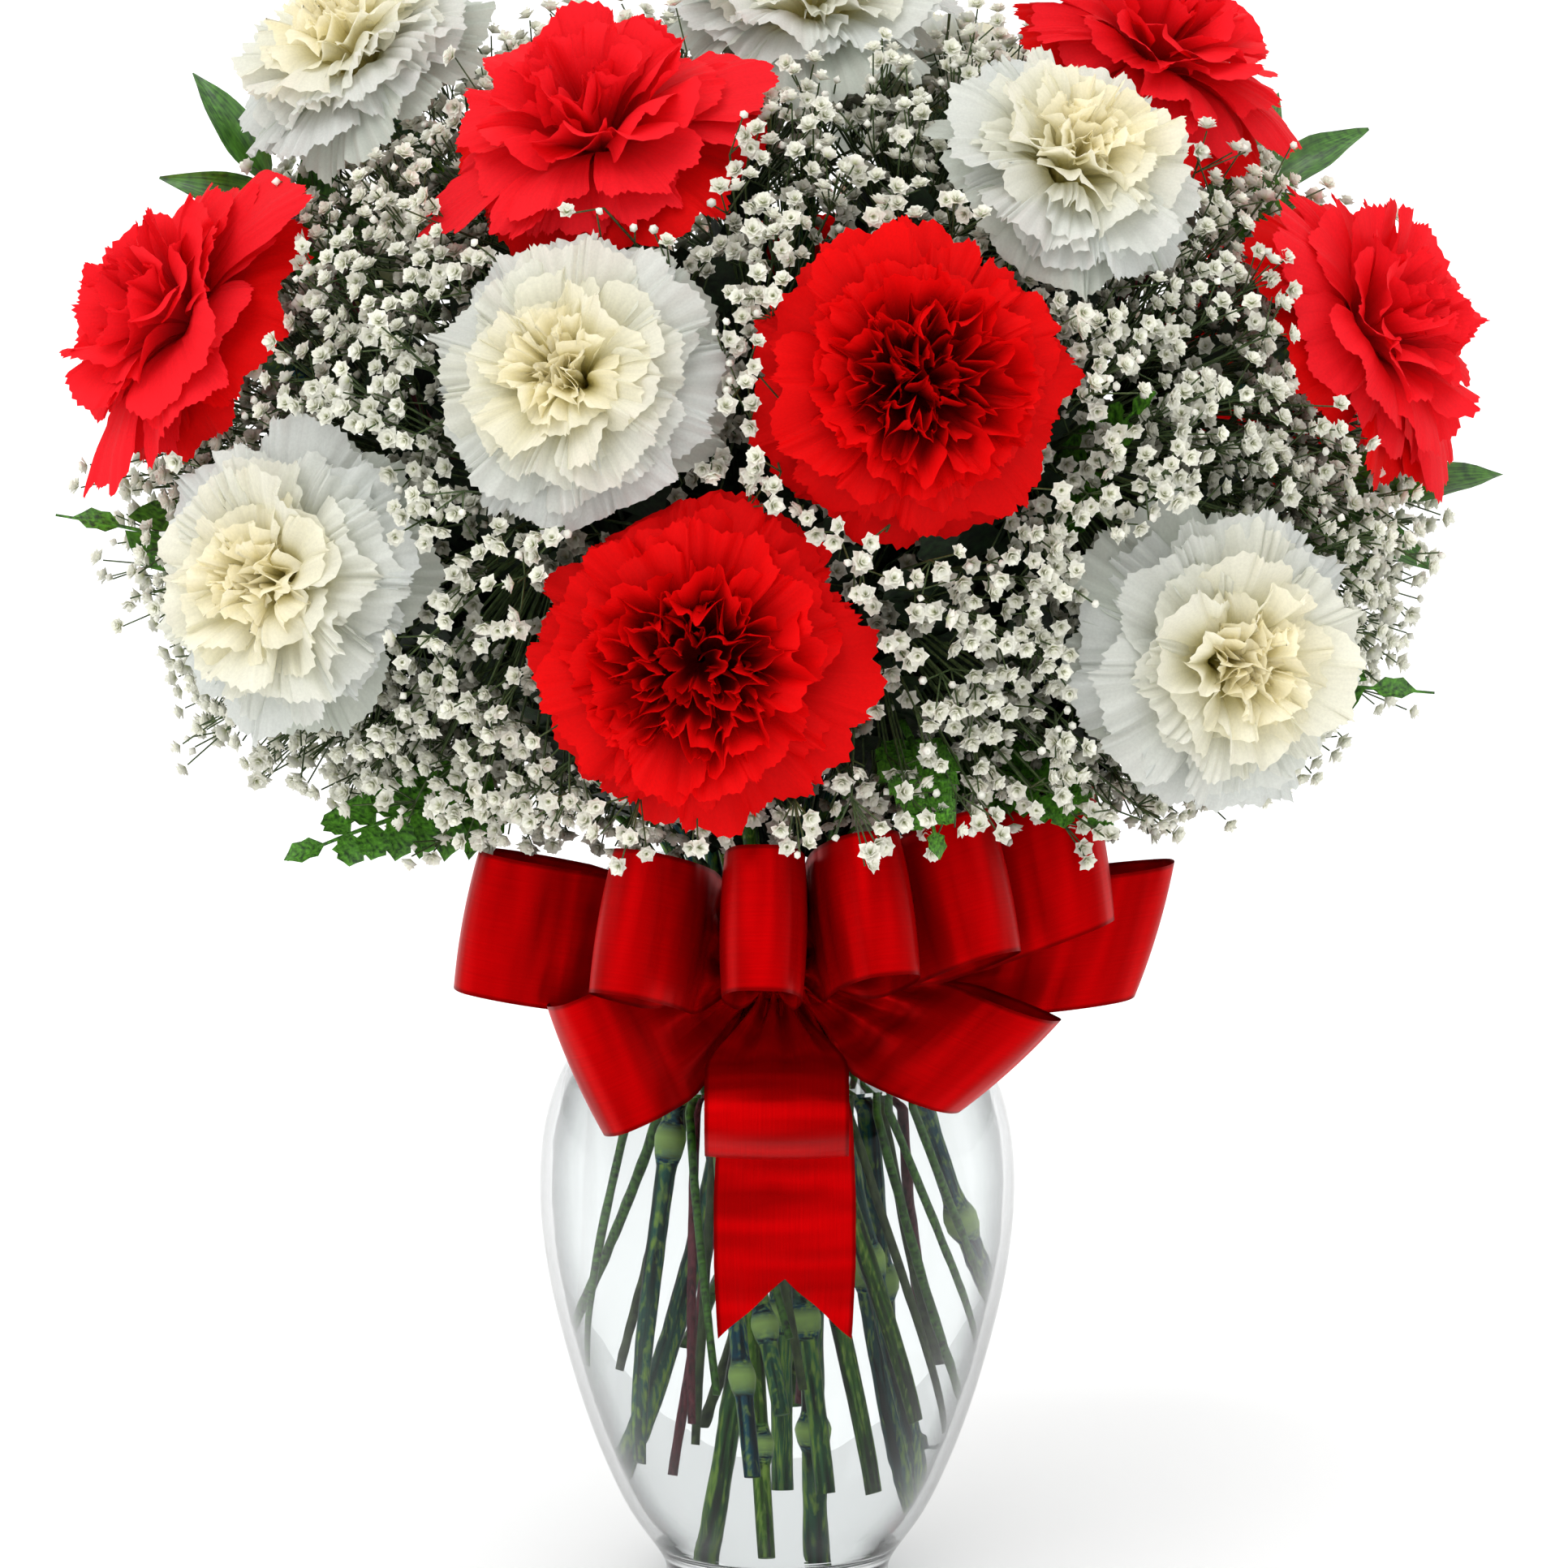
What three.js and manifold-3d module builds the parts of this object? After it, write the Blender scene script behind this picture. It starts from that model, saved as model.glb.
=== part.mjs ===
// Carnations in a clear glass vase, with baby's breath, fern and a satin bow.
// Millimetres, +Z up, the bow faces -Y, and the origin is the middle of the vase's foot.
import * as THREE from 'three';
import { mergeVertices } from 'three/addons/utils/BufferGeometryUtils.js';
import loadManifold from 'manifold-3d';

const wasm = await loadManifold();
wasm.setup();

// Vase: radius and height of the outer wall, from the foot to the lip.
const vaseOutline = [
  [29.5, 0], [31, 6], [41.4, 22], [52, 48.5], [60.6, 82], [62.8, 110],
  [58.4, 133], [46, 154], [37.4, 168], [38.4, 178], [45.5, 190],
];
const vaseSamples = 9;
const vaseSegments = 24;
const glassWall = 3;
const vaseFloor = 9;
const floorCurve = 3;
const waterLevel = 138;
const contactGap = 0.3;

// Stems: where they are squeezed together in the neck, and how far they turn and spread below.
const neckHeight = 172;
const neckReach = 29.5;
const stemTurn = THREE.MathUtils.degToRad(70);
const stemFootHeight = 12;
const stemFootSpread = 2.8;
const stemWallRoom = 4.5;
const carnationStem = 2.1;
const stemNode = 2.9;
const stemNodeLength = 3.2;
const stemNodeShares = [0.2, 0.33, 0.46, 0.59];
const slimStem = 1.05;
const holeGap = 0.55;
const neckSpacing = 6.7;

// Cut ends: the lowest, the most above it, and how much shorter the slim stems are.
const lowestCut = 14;
const cutRange = 34;
const cutStep = 17;
const slimShorter = 20;
const sprayShorter = 30;

// Bouquet dome: centre height and half sizes of the egg that the flower faces lie on.
const domeHeight = 292;
const domeHalf = new THREE.Vector3(163, 132, 122);

// Flower head: distances along its own axis, from the middle of the petals back to the calyx.
const rootDepth = 9;
const calyxLength = 27;
const calyxRadius = 6;
const bladeThickness = 0.8;
const pressGap = 0.9;

// Petal tiers: height of the root above the head's underside, root thickness, tilt above the
// flower's plane in degrees, length share, fan angle and wave of the edge.
const petalsInTier = 5;
const petalTiers = [
  { height: 2.6, root: 1.0, tilt: -6, length: 1.0, fan: 64, wave: 2.4 },
  { height: 6.4, root: 1.1, tilt: 22, length: 0.94, fan: 66, wave: 3.0 },
  { height: 10.6, root: 1.6, tilt: 50, length: 0.78, fan: 70, wave: 3.2 },
];
const coreRadii = [5.4, 7.6, 8, 7.4];
const coreTop = 17;

// Triangles of a petal: two corners at its root, then five points along its edge.
const fanSheet = [[0, 2, 3], [0, 3, 4], [0, 4, 1], [1, 4, 5], [1, 5, 6]];

// Carnations: middle of the head, which way it faces (round from the front, above level), width.
const carnations = [
  { name: 'white_1', at: [-107, -20, 403], faces: [-50, 50], width: 78 },
  { name: 'white_2', at: [8, -24, 416], faces: [0, 70], width: 80 },
  { name: 'white_3', at: [72, -80, 377], faces: [30, 44], width: 76 },
  { name: 'white_4', at: [-49, -110, 326], faces: [-18, 14], width: 79 },
  { name: 'white_5', at: [-121, -88, 275], faces: [-34, 4], width: 84 },
  { name: 'white_6', at: [110, -92, 256], faces: [28, 0], width: 86 },
  { name: 'white_7', at: [48, 56, 388], faces: [140, 52], width: 76 },
  { name: 'white_8', at: [-118, 62, 330], faces: [-120, 24], width: 78 },
  { name: 'red_1', at: [-152, -44, 339], faces: [-58, 25], width: 82 },
  { name: 'red_2', at: [-45, -70, 386], faces: [-18, 50], width: 84 },
  { name: 'red_3', at: [34, -120, 326], faces: [8, 10], width: 83 },
  { name: 'red_4', at: [-19, -122, 259], faces: [-5, 0], width: 87 },
  { name: 'red_5', at: [98, -14, 405], faces: [44, 50], width: 80 },
  { name: 'red_6', at: [152, -38, 335], faces: [60, 24], width: 82 },
  { name: 'red_7', at: [136, 54, 318], faces: [112, 16], width: 78 },
  { name: 'red_8', at: [8, 112, 322], faces: [176, 14], width: 80 },
];

// Swings tried in order, in radians, where a slim stem would cross another piece.
const swings = [0, 0.35, -0.35, 0.7, -0.7, 1.1, -1.1];

// Fern fronds: where the blade starts, its tip, and the pinnae's half length.
const fernPairs = 5;
const fernFronds = [
  { start: [-70, -46, 217], tip: [-122, -76, 204], half: 17 },
  { start: [33, -88, 236], tip: [39, -131, 213], half: 13 },
  { start: [70, -62, 290], tip: [92, -97, 322], half: 13 },
  { start: [106, -34, 240], tip: [166, -52, 243], half: 17 },
  { start: [-120, -22, 268], tip: [-184, -30, 286], half: 17 },
  { start: [48, -54, 226], tip: [83, -98, 214], half: 14 },
  { start: [-20, 84, 262], tip: [-34, 150, 272], half: 18 },
  { start: [66, 66, 232], tip: [112, 112, 226], half: 18 },
  { start: [-66, 62, 232], tip: [-116, 108, 232], half: 18 },
];

// Sprigs of pointed leaves: the first leaf's place and the tip of the last.
const sprigLeaves = 3;
const leafLength = 44;
const leafWidth = 16;
const sprigs = [
  { start: [-112, 4, 340], tip: [-150, 2, 398] },
  { start: [128, -4, 282], tip: [188, -6, 296] },
  { start: [112, 26, 356], tip: [156, 34, 384] },
  { start: [-44, 66, 352], tip: [-68, 96, 402] },
];

// Baby's breath: spacing and width of the floret heads, which are drawn larger than life.
const floretPoints = 248;
const floretRadius = 10.5;
const floretSides = 4;
const sprayCount = 6;
const hubSpacing = 52;
const hubShare = 0.56;
const forkHeight = 214;
const beadRadius = 3.4;
const twigRadius = 0.7;
const twigFoot = 2.4;
const leastFacing = 0.87;

// Bow: one satin ribbon, gathered at the knot, in front of the tie round the neck.
const ribbonWidth = 36;
const ribbonGather = 9;
const ribbonThickness = 0.9;
const tieWidth = 10;
const tieHeight = 171.5;
const tieReach = 40;
const knotRadius = 9;
const barrelRadius = 11;
const bowLoops = [
  { to: [-79, -62, 187], upright: true },
  { to: [-39, -108, 194], upright: true },
  { to: [-4, -120, 197], upright: true },
  { to: [27, -116, 200], upright: true },
  { to: [54, -101, 203], upright: true },
  { to: [82, -72, 206], upright: true },
  { to: [97, -48, 182], upright: true },
  { to: [-50, -76, 150], upright: false },
  { to: [0, -88, 133], upright: false },
  { to: [58, -77, 151], upright: false },
];

// Colours taken from the photograph, with roughness.
const looks = {
  glass: ['#dfe3e2', 0.05],
  water: ['#e4e8e6', 0.05],
  ribbon: ['#c00a10', 0.3],
  white: ['#f3f1e8', 0.7],
  red: ['#d80f16', 0.6],
  stem: ['#7f9468', 0.6],
  fern: ['#2f5230', 0.6],
  leaf: ['#3a5a34', 0.45],
  gypsophila: ['#eef1ea', 0.8],
};

const up = new THREE.Vector3(0, 0, 1);
const knot = new THREE.Vector3(0, -(tieReach + contactGap + knotRadius), tieHeight);
const placed = [];
const model = new THREE.Group();

function vec(list) {
  return new THREE.Vector3(...list);
}

// Unit vector from an angle round the vase, counted from the front, and one above level.
function direction(around, above) {
  const a = THREE.MathUtils.degToRad(around);
  const b = THREE.MathUtils.degToRad(above);
  return new THREE.Vector3(Math.sin(a) * Math.cos(b), -Math.cos(a) * Math.cos(b), Math.sin(b));
}

function solid(points, triangles) {
  const vertProperties = new Float32Array(points.flatMap((p) => [p.x, p.y, p.z]));
  const triVerts = new Uint32Array(triangles.flat());
  return new wasm.Manifold(new wasm.Mesh({ numProp: 3, vertProperties, triVerts }));
}

function join(solids) {
  return solids.reduce((whole, piece) => whole.add(piece));
}

// Turned solid round +Z from [radius, height] pairs that start and end on the axis, or close.
function turned(profile, segments) {
  const lathe = new THREE.LatheGeometry(profile.map(([r, z]) => new THREE.Vector2(r, z)), segments);
  lathe.rotateX(Math.PI / 2);
  lathe.deleteAttribute('normal');
  lathe.deleteAttribute('uv');
  const merged = mergeVertices(lathe, 1e-3);
  const place = merged.getAttribute('position');
  const points = [];
  for (let i = 0; i < place.count; i += 1) {
    points.push(new THREE.Vector3().fromBufferAttribute(place, i));
  }
  const index = merged.getIndex().array;
  const triangles = [];
  for (let i = 0; i < index.length; i += 3) {
    const [a, b, c] = index.slice(i, i + 3);
    if (a !== b && b !== c && c !== a) {
      triangles.push([a, b, c]);
    }
  }
  return solid(points, triangles);
}

// Round bar along a path, with its own radius at each point and flat ends.
function bar(path, radii, sides) {
  const points = [];
  const triangles = [];
  let across = null;
  path.forEach((p, i) => {
    const before = path[Math.max(i - 1, 0)];
    const after = path[Math.min(i + 1, path.length - 1)];
    const along = after.clone().sub(before).normalize();
    if (across === null) {
      across = Math.abs(along.z) < 0.9 ? up.clone() : new THREE.Vector3(1, 0, 0);
    }
    across.addScaledVector(along, -across.dot(along)).normalize();
    const beside = along.clone().cross(across);
    for (let j = 0; j < sides; j += 1) {
      const turn = (2 * Math.PI * j) / sides;
      const spoke = across.clone().multiplyScalar(Math.cos(turn));
      spoke.addScaledVector(beside, Math.sin(turn));
      points.push(p.clone().addScaledVector(spoke, radii[i]));
    }
    across = across.clone();
  });
  for (let i = 0; i < path.length - 1; i += 1) {
    for (let j = 0; j < sides; j += 1) {
      const a = i * sides + j;
      const b = i * sides + ((j + 1) % sides);
      triangles.push([a, b, b + sides], [a, b + sides, a + sides]);
    }
  }
  const last = (path.length - 1) * sides;
  for (let j = 1; j < sides - 1; j += 1) {
    triangles.push([0, j + 1, j], [last, last + j, last + j + 1]);
  }
  return solid(points, triangles);
}

// Thin blade with an even thickness on both sides of a sheet of triangles.
function blade(points, triangles, thickness) {
  const normals = points.map(() => new THREE.Vector3());
  const edges = new Set();
  triangles.forEach(([a, b, c]) => {
    const face = points[b].clone().sub(points[a]).cross(points[c].clone().sub(points[a]));
    face.normalize();
    [a, b, c].forEach((i) => normals[i].add(face));
    [[a, b], [b, c], [c, a]].forEach(([i, j]) => edges.add(`${i} ${j}`));
  });
  normals.forEach((n) => n.normalize().multiplyScalar(thickness / 2));
  const top = points.map((p, i) => p.clone().add(normals[i]));
  const bottom = points.map((p, i) => p.clone().sub(normals[i]));
  const n = points.length;
  const faces = triangles.flatMap(([a, b, c]) => [[a, b, c], [c + n, b + n, a + n]]);
  triangles.forEach(([a, b, c]) => {
    [[a, b], [b, c], [c, a]].forEach(([i, j]) => {
      if (!edges.has(`${j} ${i}`)) {
        faces.push([j, i, i + n], [j, i + n, j + n]);
      }
    });
  });
  return solid([...top, ...bottom], faces);
}

// Box of a solid, used to leave out neighbours that are far away.
function boxOf(piece) {
  const mesh = piece.getMesh();
  const box = new THREE.Box3();
  const p = new THREE.Vector3();
  for (let i = 0; i < mesh.vertProperties.length; i += mesh.numProp) {
    box.expandByPoint(p.fromArray(mesh.vertProperties, i));
  }
  return box;
}

// True where a solid keeps clear of all nodes placed so far.
function isClear(piece) {
  const box = boxOf(piece);
  return placed.every((other) => (
    !box.intersectsBox(other.box)
      || piece.intersect(other.piece).getMesh().triVerts.length === 0
  ));
}

function addNode(name, piece, look) {
  const mesh = piece.getMesh();
  const geometry = new THREE.BufferGeometry();
  geometry.setAttribute('position', new THREE.BufferAttribute(mesh.vertProperties, mesh.numProp));
  geometry.setIndex(new THREE.BufferAttribute(mesh.triVerts, 1));
  const [color, roughness] = looks[look];
  const node = new THREE.Mesh(geometry, new THREE.MeshStandardMaterial({ color, roughness }));
  node.name = name;
  model.add(node);
  placed.push({ name, piece, box: boxOf(piece) });
}

// Wall of the vase: the outer line, or a line set inward from it, sampled from foot to lip.
function vaseLine(inset) {
  const curve = new THREE.SplineCurve(vaseOutline.map(([r, z]) => new THREE.Vector2(r, z)));
  return Array.from({ length: vaseSamples + 1 }, (_, i) => {
    const p = curve.getPoint(i / vaseSamples);
    const along = curve.getTangent(i / vaseSamples);
    return [p.x - inset * along.y, i === vaseSamples ? p.y : p.y + inset * along.x];
  });
}

function radiusAt(line, height) {
  const i = line.findIndex(([, z]) => z >= height);
  const [r0, z0] = line[i - 1];
  const [r1, z1] = line[i];
  return r0 + ((r1 - r0) * (height - z0)) / (z1 - z0);
}

function makeVase() {
  const outside = vaseLine(0);
  const wall = vaseLine(glassWall);
  const inside = wall.filter(([, z]) => z > vaseFloor + floorCurve);
  const floorEdge = [radiusAt(wall, vaseFloor + floorCurve) - floorCurve, vaseFloor];
  const profile = [[0, 0], ...outside, ...inside.reverse(), floorEdge, [0, vaseFloor]];
  return turned(profile, vaseSegments);
}

// Water fills the vase to its level, with a plain hole round each stem.
function makeWater(holes) {
  const line = vaseLine(glassWall + contactGap);
  const low = vaseFloor + contactGap;
  const wall = line.filter(([, z]) => z > low + floorCurve && z < waterLevel - 1);
  const bottom = [[0, low], [radiusAt(line, low + floorCurve) - floorCurve, low]];
  const top = [[radiusAt(line, waterLevel), waterLevel], [0, waterLevel]];
  return turned([...bottom, ...wall, ...top], vaseSegments).subtract(join(holes));
}

// Band of ribbon round the neck that carries the bow.
function makeTie() {
  const outside = vaseLine(0);
  const low = tieHeight - tieWidth / 2;
  const heights = [low, low + tieWidth];
  const inner = heights.map((z) => [radiusAt(outside, z) + contactGap + 0.1, z]);
  const outer = inner.map(([r, z]) => [r + ribbonThickness + 0.3, z]);
  return turned([...outer, ...inner.reverse(), outer[0]], vaseSegments);
}

// Ribbon along a path, as a strip whose width points the given way at each step.
function ribbon(path, wide, widths, notch) {
  const points = path.flatMap((p, i) => [
    p.clone().addScaledVector(wide, -widths[i] / 2),
    p.clone().addScaledVector(wide, widths[i] / 2),
  ]);
  const triangles = [];
  const steps = notch ? path.length - 2 : path.length - 1;
  for (let i = 0; i < steps; i += 1) {
    const a = 2 * i;
    triangles.push([a, a + 1, a + 3], [a, a + 3, a + 2]);
  }
  if (notch) {
    const a = 2 * steps;
    points.push(path[steps].clone().lerp(path[steps + 1], notch));
    const middle = points.length - 1;
    triangles.push([a, a + 1, middle], [a, middle, a + 2], [a + 1, a + 3, middle]);
  }
  return blade(points, triangles, ribbonThickness);
}

// One loop of the bow: out along its length, round its barrel and back to the knot.
function bowLoop({ to, upright }) {
  const reach = vec(to).sub(knot);
  const length = reach.length();
  const along = reach.normalize();
  const guide = upright ? up.clone() : along.clone().cross(new THREE.Vector3(0, -1, 0));
  const wide = guide.addScaledVector(along, -guide.dot(along)).normalize();
  const across = along.clone().cross(wide);
  const outline = [
    [0, 0.07], [0.36, 0.42], [0.74, 0.96], [0.95, 0.72], [1, 0],
    [0.95, -0.72], [0.74, -0.96], [0.36, -0.42], [0, -0.07],
  ];
  const inKnot = knotRadius - 2;
  const path = outline.map(([share, bulge]) => {
    const p = knot.clone().addScaledVector(along, inKnot + share * (length - inKnot));
    return p.addScaledVector(across, bulge * barrelRadius);
  });
  const widths = outline.map(([share]) => {
    const open = Math.min(share / 0.6, 1);
    return ribbonGather + (ribbonWidth - ribbonGather) * open;
  });
  return ribbon(path, wide, widths, 0);
}

// Tail of the ribbon: down the front of the vase to a notched end.
function bowTail() {
  const path = [knot.clone().setY(knot.y - 1), vec([1, -62, 154]), vec([2, -67, 138]),
    vec([2, -67, 116]), vec([2, -66, 98]), vec([2, -65, 79])];
  const widths = [ribbonGather, 26, 34, ribbonWidth, ribbonWidth, ribbonWidth * 0.9];
  return ribbon(path, new THREE.Vector3(1, 0, 0), widths, 0.1);
}

function makeBow() {
  const half = tieWidth / 2 + 1;
  const core = bar(
    [knot.clone().setZ(knot.z - half), knot.clone().setZ(knot.z + half)],
    [knotRadius, knotRadius],
    8,
  );
  return join([core, ...bowLoops.map(bowLoop), bowTail()]);
}

// Where each stem passes the neck: toward its own target, then pushed apart to the spacing.
function neckSpots(targets) {
  const spots = targets.map((p) => {
    const level = Math.hypot(p.x, p.y);
    const slope = Math.atan2(p.z - neckHeight, level);
    return new THREE.Vector2(p.x, p.y).setLength(neckReach * Math.cos(slope) ** 1.3);
  });
  for (let round = 0; round < 400; round += 1) {
    for (let i = 0; i < spots.length; i += 1) {
      for (let j = 0; j < i; j += 1) {
        const apart = spots[i].clone().sub(spots[j]);
        const short = neckSpacing - apart.length();
        if (short > 0) {
          apart.setLength(short * 0.3);
          spots[i].add(apart);
          spots[j].sub(apart);
        }
      }
    }
    spots.forEach((s) => s.clampLength(0, neckReach));
  }
  return spots;
}

// Cut end of a stem. The neck spots are turned about the axis and spread on the way down, so
// that no two stems cross, and each is cut where the wall of the vase still leaves room for it.
function stemFoot(spot, cut) {
  const foot = spot.clone().rotateAround(new THREE.Vector2(), stemTurn);
  foot.multiplyScalar(stemFootSpread);
  const top = new THREE.Vector3(spot.x, spot.y, neckHeight);
  const end = new THREE.Vector3(foot.x, foot.y, stemFootHeight);
  const wall = vaseLine(glassWall);
  const at = (height) => (
    end.clone().lerp(top, (height - stemFootHeight) / (neckHeight - stemFootHeight))
  );
  let height = cut;
  while (Math.hypot(at(height).x, at(height).y) > radiusAt(wall, height) - stemWallRoom) {
    height += 1;
  }
  return at(height);
}

// Carnation stem: cut end, a swollen node, the neck, a bend to the head, and the calyx.
function carnationStemPath(head, spot, cut, nodeShare) {
  const faces = direction(...head.faces);
  const calyxTop = vec(head.at).addScaledVector(faces, -(rootDepth + contactGap));
  const calyxBase = calyxTop.clone().addScaledVector(faces, -calyxLength);
  const foot = stemFoot(spot, cut);
  const neck = new THREE.Vector3(spot.x, spot.y, neckHeight);
  const node = foot.clone().lerp(neck, nodeShare);
  const step = neck.clone().sub(foot).setLength(stemNodeLength);
  const bend = new THREE.CubicBezierCurve3(
    neck,
    neck.clone().add(new THREE.Vector3(spot.x * 0.25, spot.y * 0.25, 34)),
    calyxBase.clone().addScaledVector(faces, -0.38 * calyxBase.distanceTo(neck)),
    calyxBase,
  );
  const bendPoints = [0, 0.27, 0.6, 1].map((t) => bend.getPoint(t));
  const path = [foot, node.clone().sub(step), node, node.clone().add(step), ...bendPoints];
  const radii = [1, 1, stemNode / carnationStem, 1, 1, 1, 1, 1].map((k) => k * carnationStem);
  path.push(calyxTop.clone().addScaledVector(faces, 5 - calyxLength), calyxTop);
  radii.push(calyxRadius - 1.2, calyxRadius);
  return { path, radii };
}

// Each neighbour presses on a bloom at a plane half way between the two heads.
function pressPlanes(head) {
  const middle = vec(head.at);
  return carnations.filter((other) => other !== head).map((other) => {
    const away = vec(other.at).sub(middle);
    const share = head.width / (head.width + other.width);
    return { at: middle.clone().addScaledVector(away, share), away: away.clone().normalize() };
  });
}

function press(point, planes, gap) {
  planes.forEach(({ at, away }) => {
    const past = point.clone().sub(at).dot(away) + gap;
    if (past > 0) {
      point.addScaledVector(away, -past);
    }
  });
  return point;
}

// Flower head as one closed sheet: a small core with a flat underside, and tiers of petals
// that grow out of its sides as pleated fans with toothed edges.
function makeBloom(head, turnStart) {
  const faces = direction(...head.faces);
  const sideways = faces.clone().cross(Math.abs(faces.z) < 0.9 ? up : new THREE.Vector3(1, 0, 0));
  sideways.normalize();
  const upward = faces.clone().cross(sideways);
  const planes = pressPlanes(head);
  const bottom = vec(head.at).addScaledVector(faces, -rootDepth);
  const sides = 2 * petalsInTier;
  const outward = (turn) => sideways.clone().multiplyScalar(Math.cos(turn))
    .addScaledVector(upward, Math.sin(turn));
  const facet = (k) => turnStart + (2 * Math.PI * k) / sides;
  const points = [];
  const triangles = [];
  const addRing = (height, radius) => {
    for (let k = 0; k < sides; k += 1) {
      const p = bottom.clone().addScaledVector(faces, height);
      points.push(p.addScaledVector(outward(facet(k - 0.5)), radius));
    }
    return points.length - sides;
  };
  const band = (low, high, taken) => {
    for (let k = 0; k < sides; k += 1) {
      const next = (k + 1) % sides;
      if (!taken(k)) {
        triangles.push([low + k, low + next, high + next], [low + k, high + next, high + k]);
      }
    }
  };
  let below = addRing(0, coreRadii[0]);
  for (let k = 1; k < sides - 1; k += 1) {
    triangles.push([below, below + k + 1, below + k]);
  }
  petalTiers.forEach((tier, t) => {
    const low = addRing(tier.height, coreRadii[t + 1]);
    const high = addRing(tier.height + tier.root, coreRadii[t + 1]);
    band(below, low, () => false);
    band(low, high, (k) => k % 2 === t % 2);
    for (let k = t % 2; k < sides; k += 2) {
      const next = (k + 1) % sides;
      const base = [low + k, low + next, high + next, high + k];
      addPetal(points, triangles, base, { tier, planes, faces, out: outward(facet(k)), t, k, head });
    }
    below = high;
  });
  const apex = points.push(bottom.clone().addScaledVector(faces, coreTop)) - 1;
  for (let k = 0; k < sides; k += 1) {
    triangles.push([below + k, below + ((k + 1) % sides), apex]);
  }
  return solid(points, triangles);
}

// One petal on four corners of the core: lower left, lower right, upper right, upper left.
function addPetal(points, triangles, base, { tier, planes, faces, out, t, k, head }) {
  const tilt = THREE.MathUtils.degToRad(tier.tilt);
  const along = out.clone().multiplyScalar(Math.cos(tilt)).addScaledVector(faces, Math.sin(tilt));
  const normal = faces.clone().multiplyScalar(Math.cos(tilt)).addScaledVector(out, -Math.sin(tilt));
  const side = normal.clone().cross(along);
  const root = base.reduce((sum, i) => sum.add(points[i]), new THREE.Vector3()).divideScalar(4);
  const fan = THREE.MathUtils.degToRad(tier.fan);
  const gap = pressGap + 0.35 * ((3 * k + t) % 4);
  const edge = (length) => [0, 1, 2, 3, 4].map((j) => {
    const turn = (j / 4 - 0.5) * fan;
    const reach = length * (j % 2 ? 0.93 : 1);
    const p = root.clone().addScaledVector(along, reach * Math.cos(turn));
    p.addScaledVector(side, reach * Math.sin(turn));
    return press(p.addScaledVector(normal, j % 2 ? tier.wave : -tier.wave), planes, gap);
  });
  const corner = (hand) => root.clone().addScaledVector(side, hand * 2);
  const free = (length) => isClear(blade([corner(-1), corner(1), ...edge(length)], fanSheet, 1.6));
  let length = (head.width / 2) * tier.length - coreRadii[t + 1];
  while (length > 12 && !free(length)) {
    length *= 0.88;
  }
  const rim = edge(length);
  const upper = points.length;
  points.push(...rim.map((p) => p.clone().addScaledVector(normal, bladeThickness / 2)));
  const lower = points.length;
  points.push(...rim.map((p) => p.clone().addScaledVector(normal, -bladeThickness / 2)));
  const [lowLeft, lowRight, highRight, highLeft] = base;
  const top = [highLeft, highRight, ...[0, 1, 2, 3, 4].map((j) => upper + j)];
  const under = [lowLeft, lowRight, ...[0, 1, 2, 3, 4].map((j) => lower + j)];
  fanSheet.forEach(([a, b, c]) => {
    triangles.push([top[a], top[b], top[c]], [under[c], under[b], under[a]]);
  });
  [[0, 2], [2, 3], [3, 4], [4, 5], [5, 6], [6, 1]].forEach(([i, j]) => {
    triangles.push([top[j], top[i], under[i]], [top[j], under[i], under[j]]);
  });
}

// Way from the neck to a place in the bouquet, leaving the neck upward and arriving along a line.
function bendTo(spot, place, along, swing) {
  const neck = new THREE.Vector3(spot.x, spot.y, neckHeight);
  const rise = new THREE.Vector3(spot.x * 0.3, spot.y * 0.3, 30);
  const arrive = along.clone().multiplyScalar(-0.36 * place.distanceTo(neck));
  arrive.applyAxisAngle(up, swing);
  const curve = new THREE.CubicBezierCurve3(
    neck,
    neck.clone().add(rise),
    place.clone().add(arrive),
    place,
  );
  return [0, 0.25, 0.5, 0.75, 1].map((t) => curve.getPoint(t));
}

function slimBar(path) {
  const radii = path.map((_, i) => (i < path.length - 1 ? slimStem : slimStem * 0.7));
  return bar(path, radii, 3);
}

// Slim stem from its cut end in the water to the first of some places in the bouquet that it
// reaches clear of the other pieces.
function slimRoute(spot, cut, places, along) {
  const routes = places.flatMap((place) => (
    swings.map((swing) => [stemFoot(spot, cut), ...bendTo(spot, place, along, swing)])
  ));
  return routes.find((path) => isClear(slimBar(path))) ?? routes[0];
}

// Frame of a leaf or frond: along it, to its side, and the way its face looks, which is
// toward the front or the back of the bouquet and a little upward.
function leafFrame(start, tip) {
  const along = tip.clone().sub(start).normalize();
  const guide = new THREE.Vector3(0, start.y > 40 ? 1 : -1, 0.6);
  const side = guide.cross(along).normalize();
  return { along, side, face: along.clone().cross(side) };
}

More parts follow.
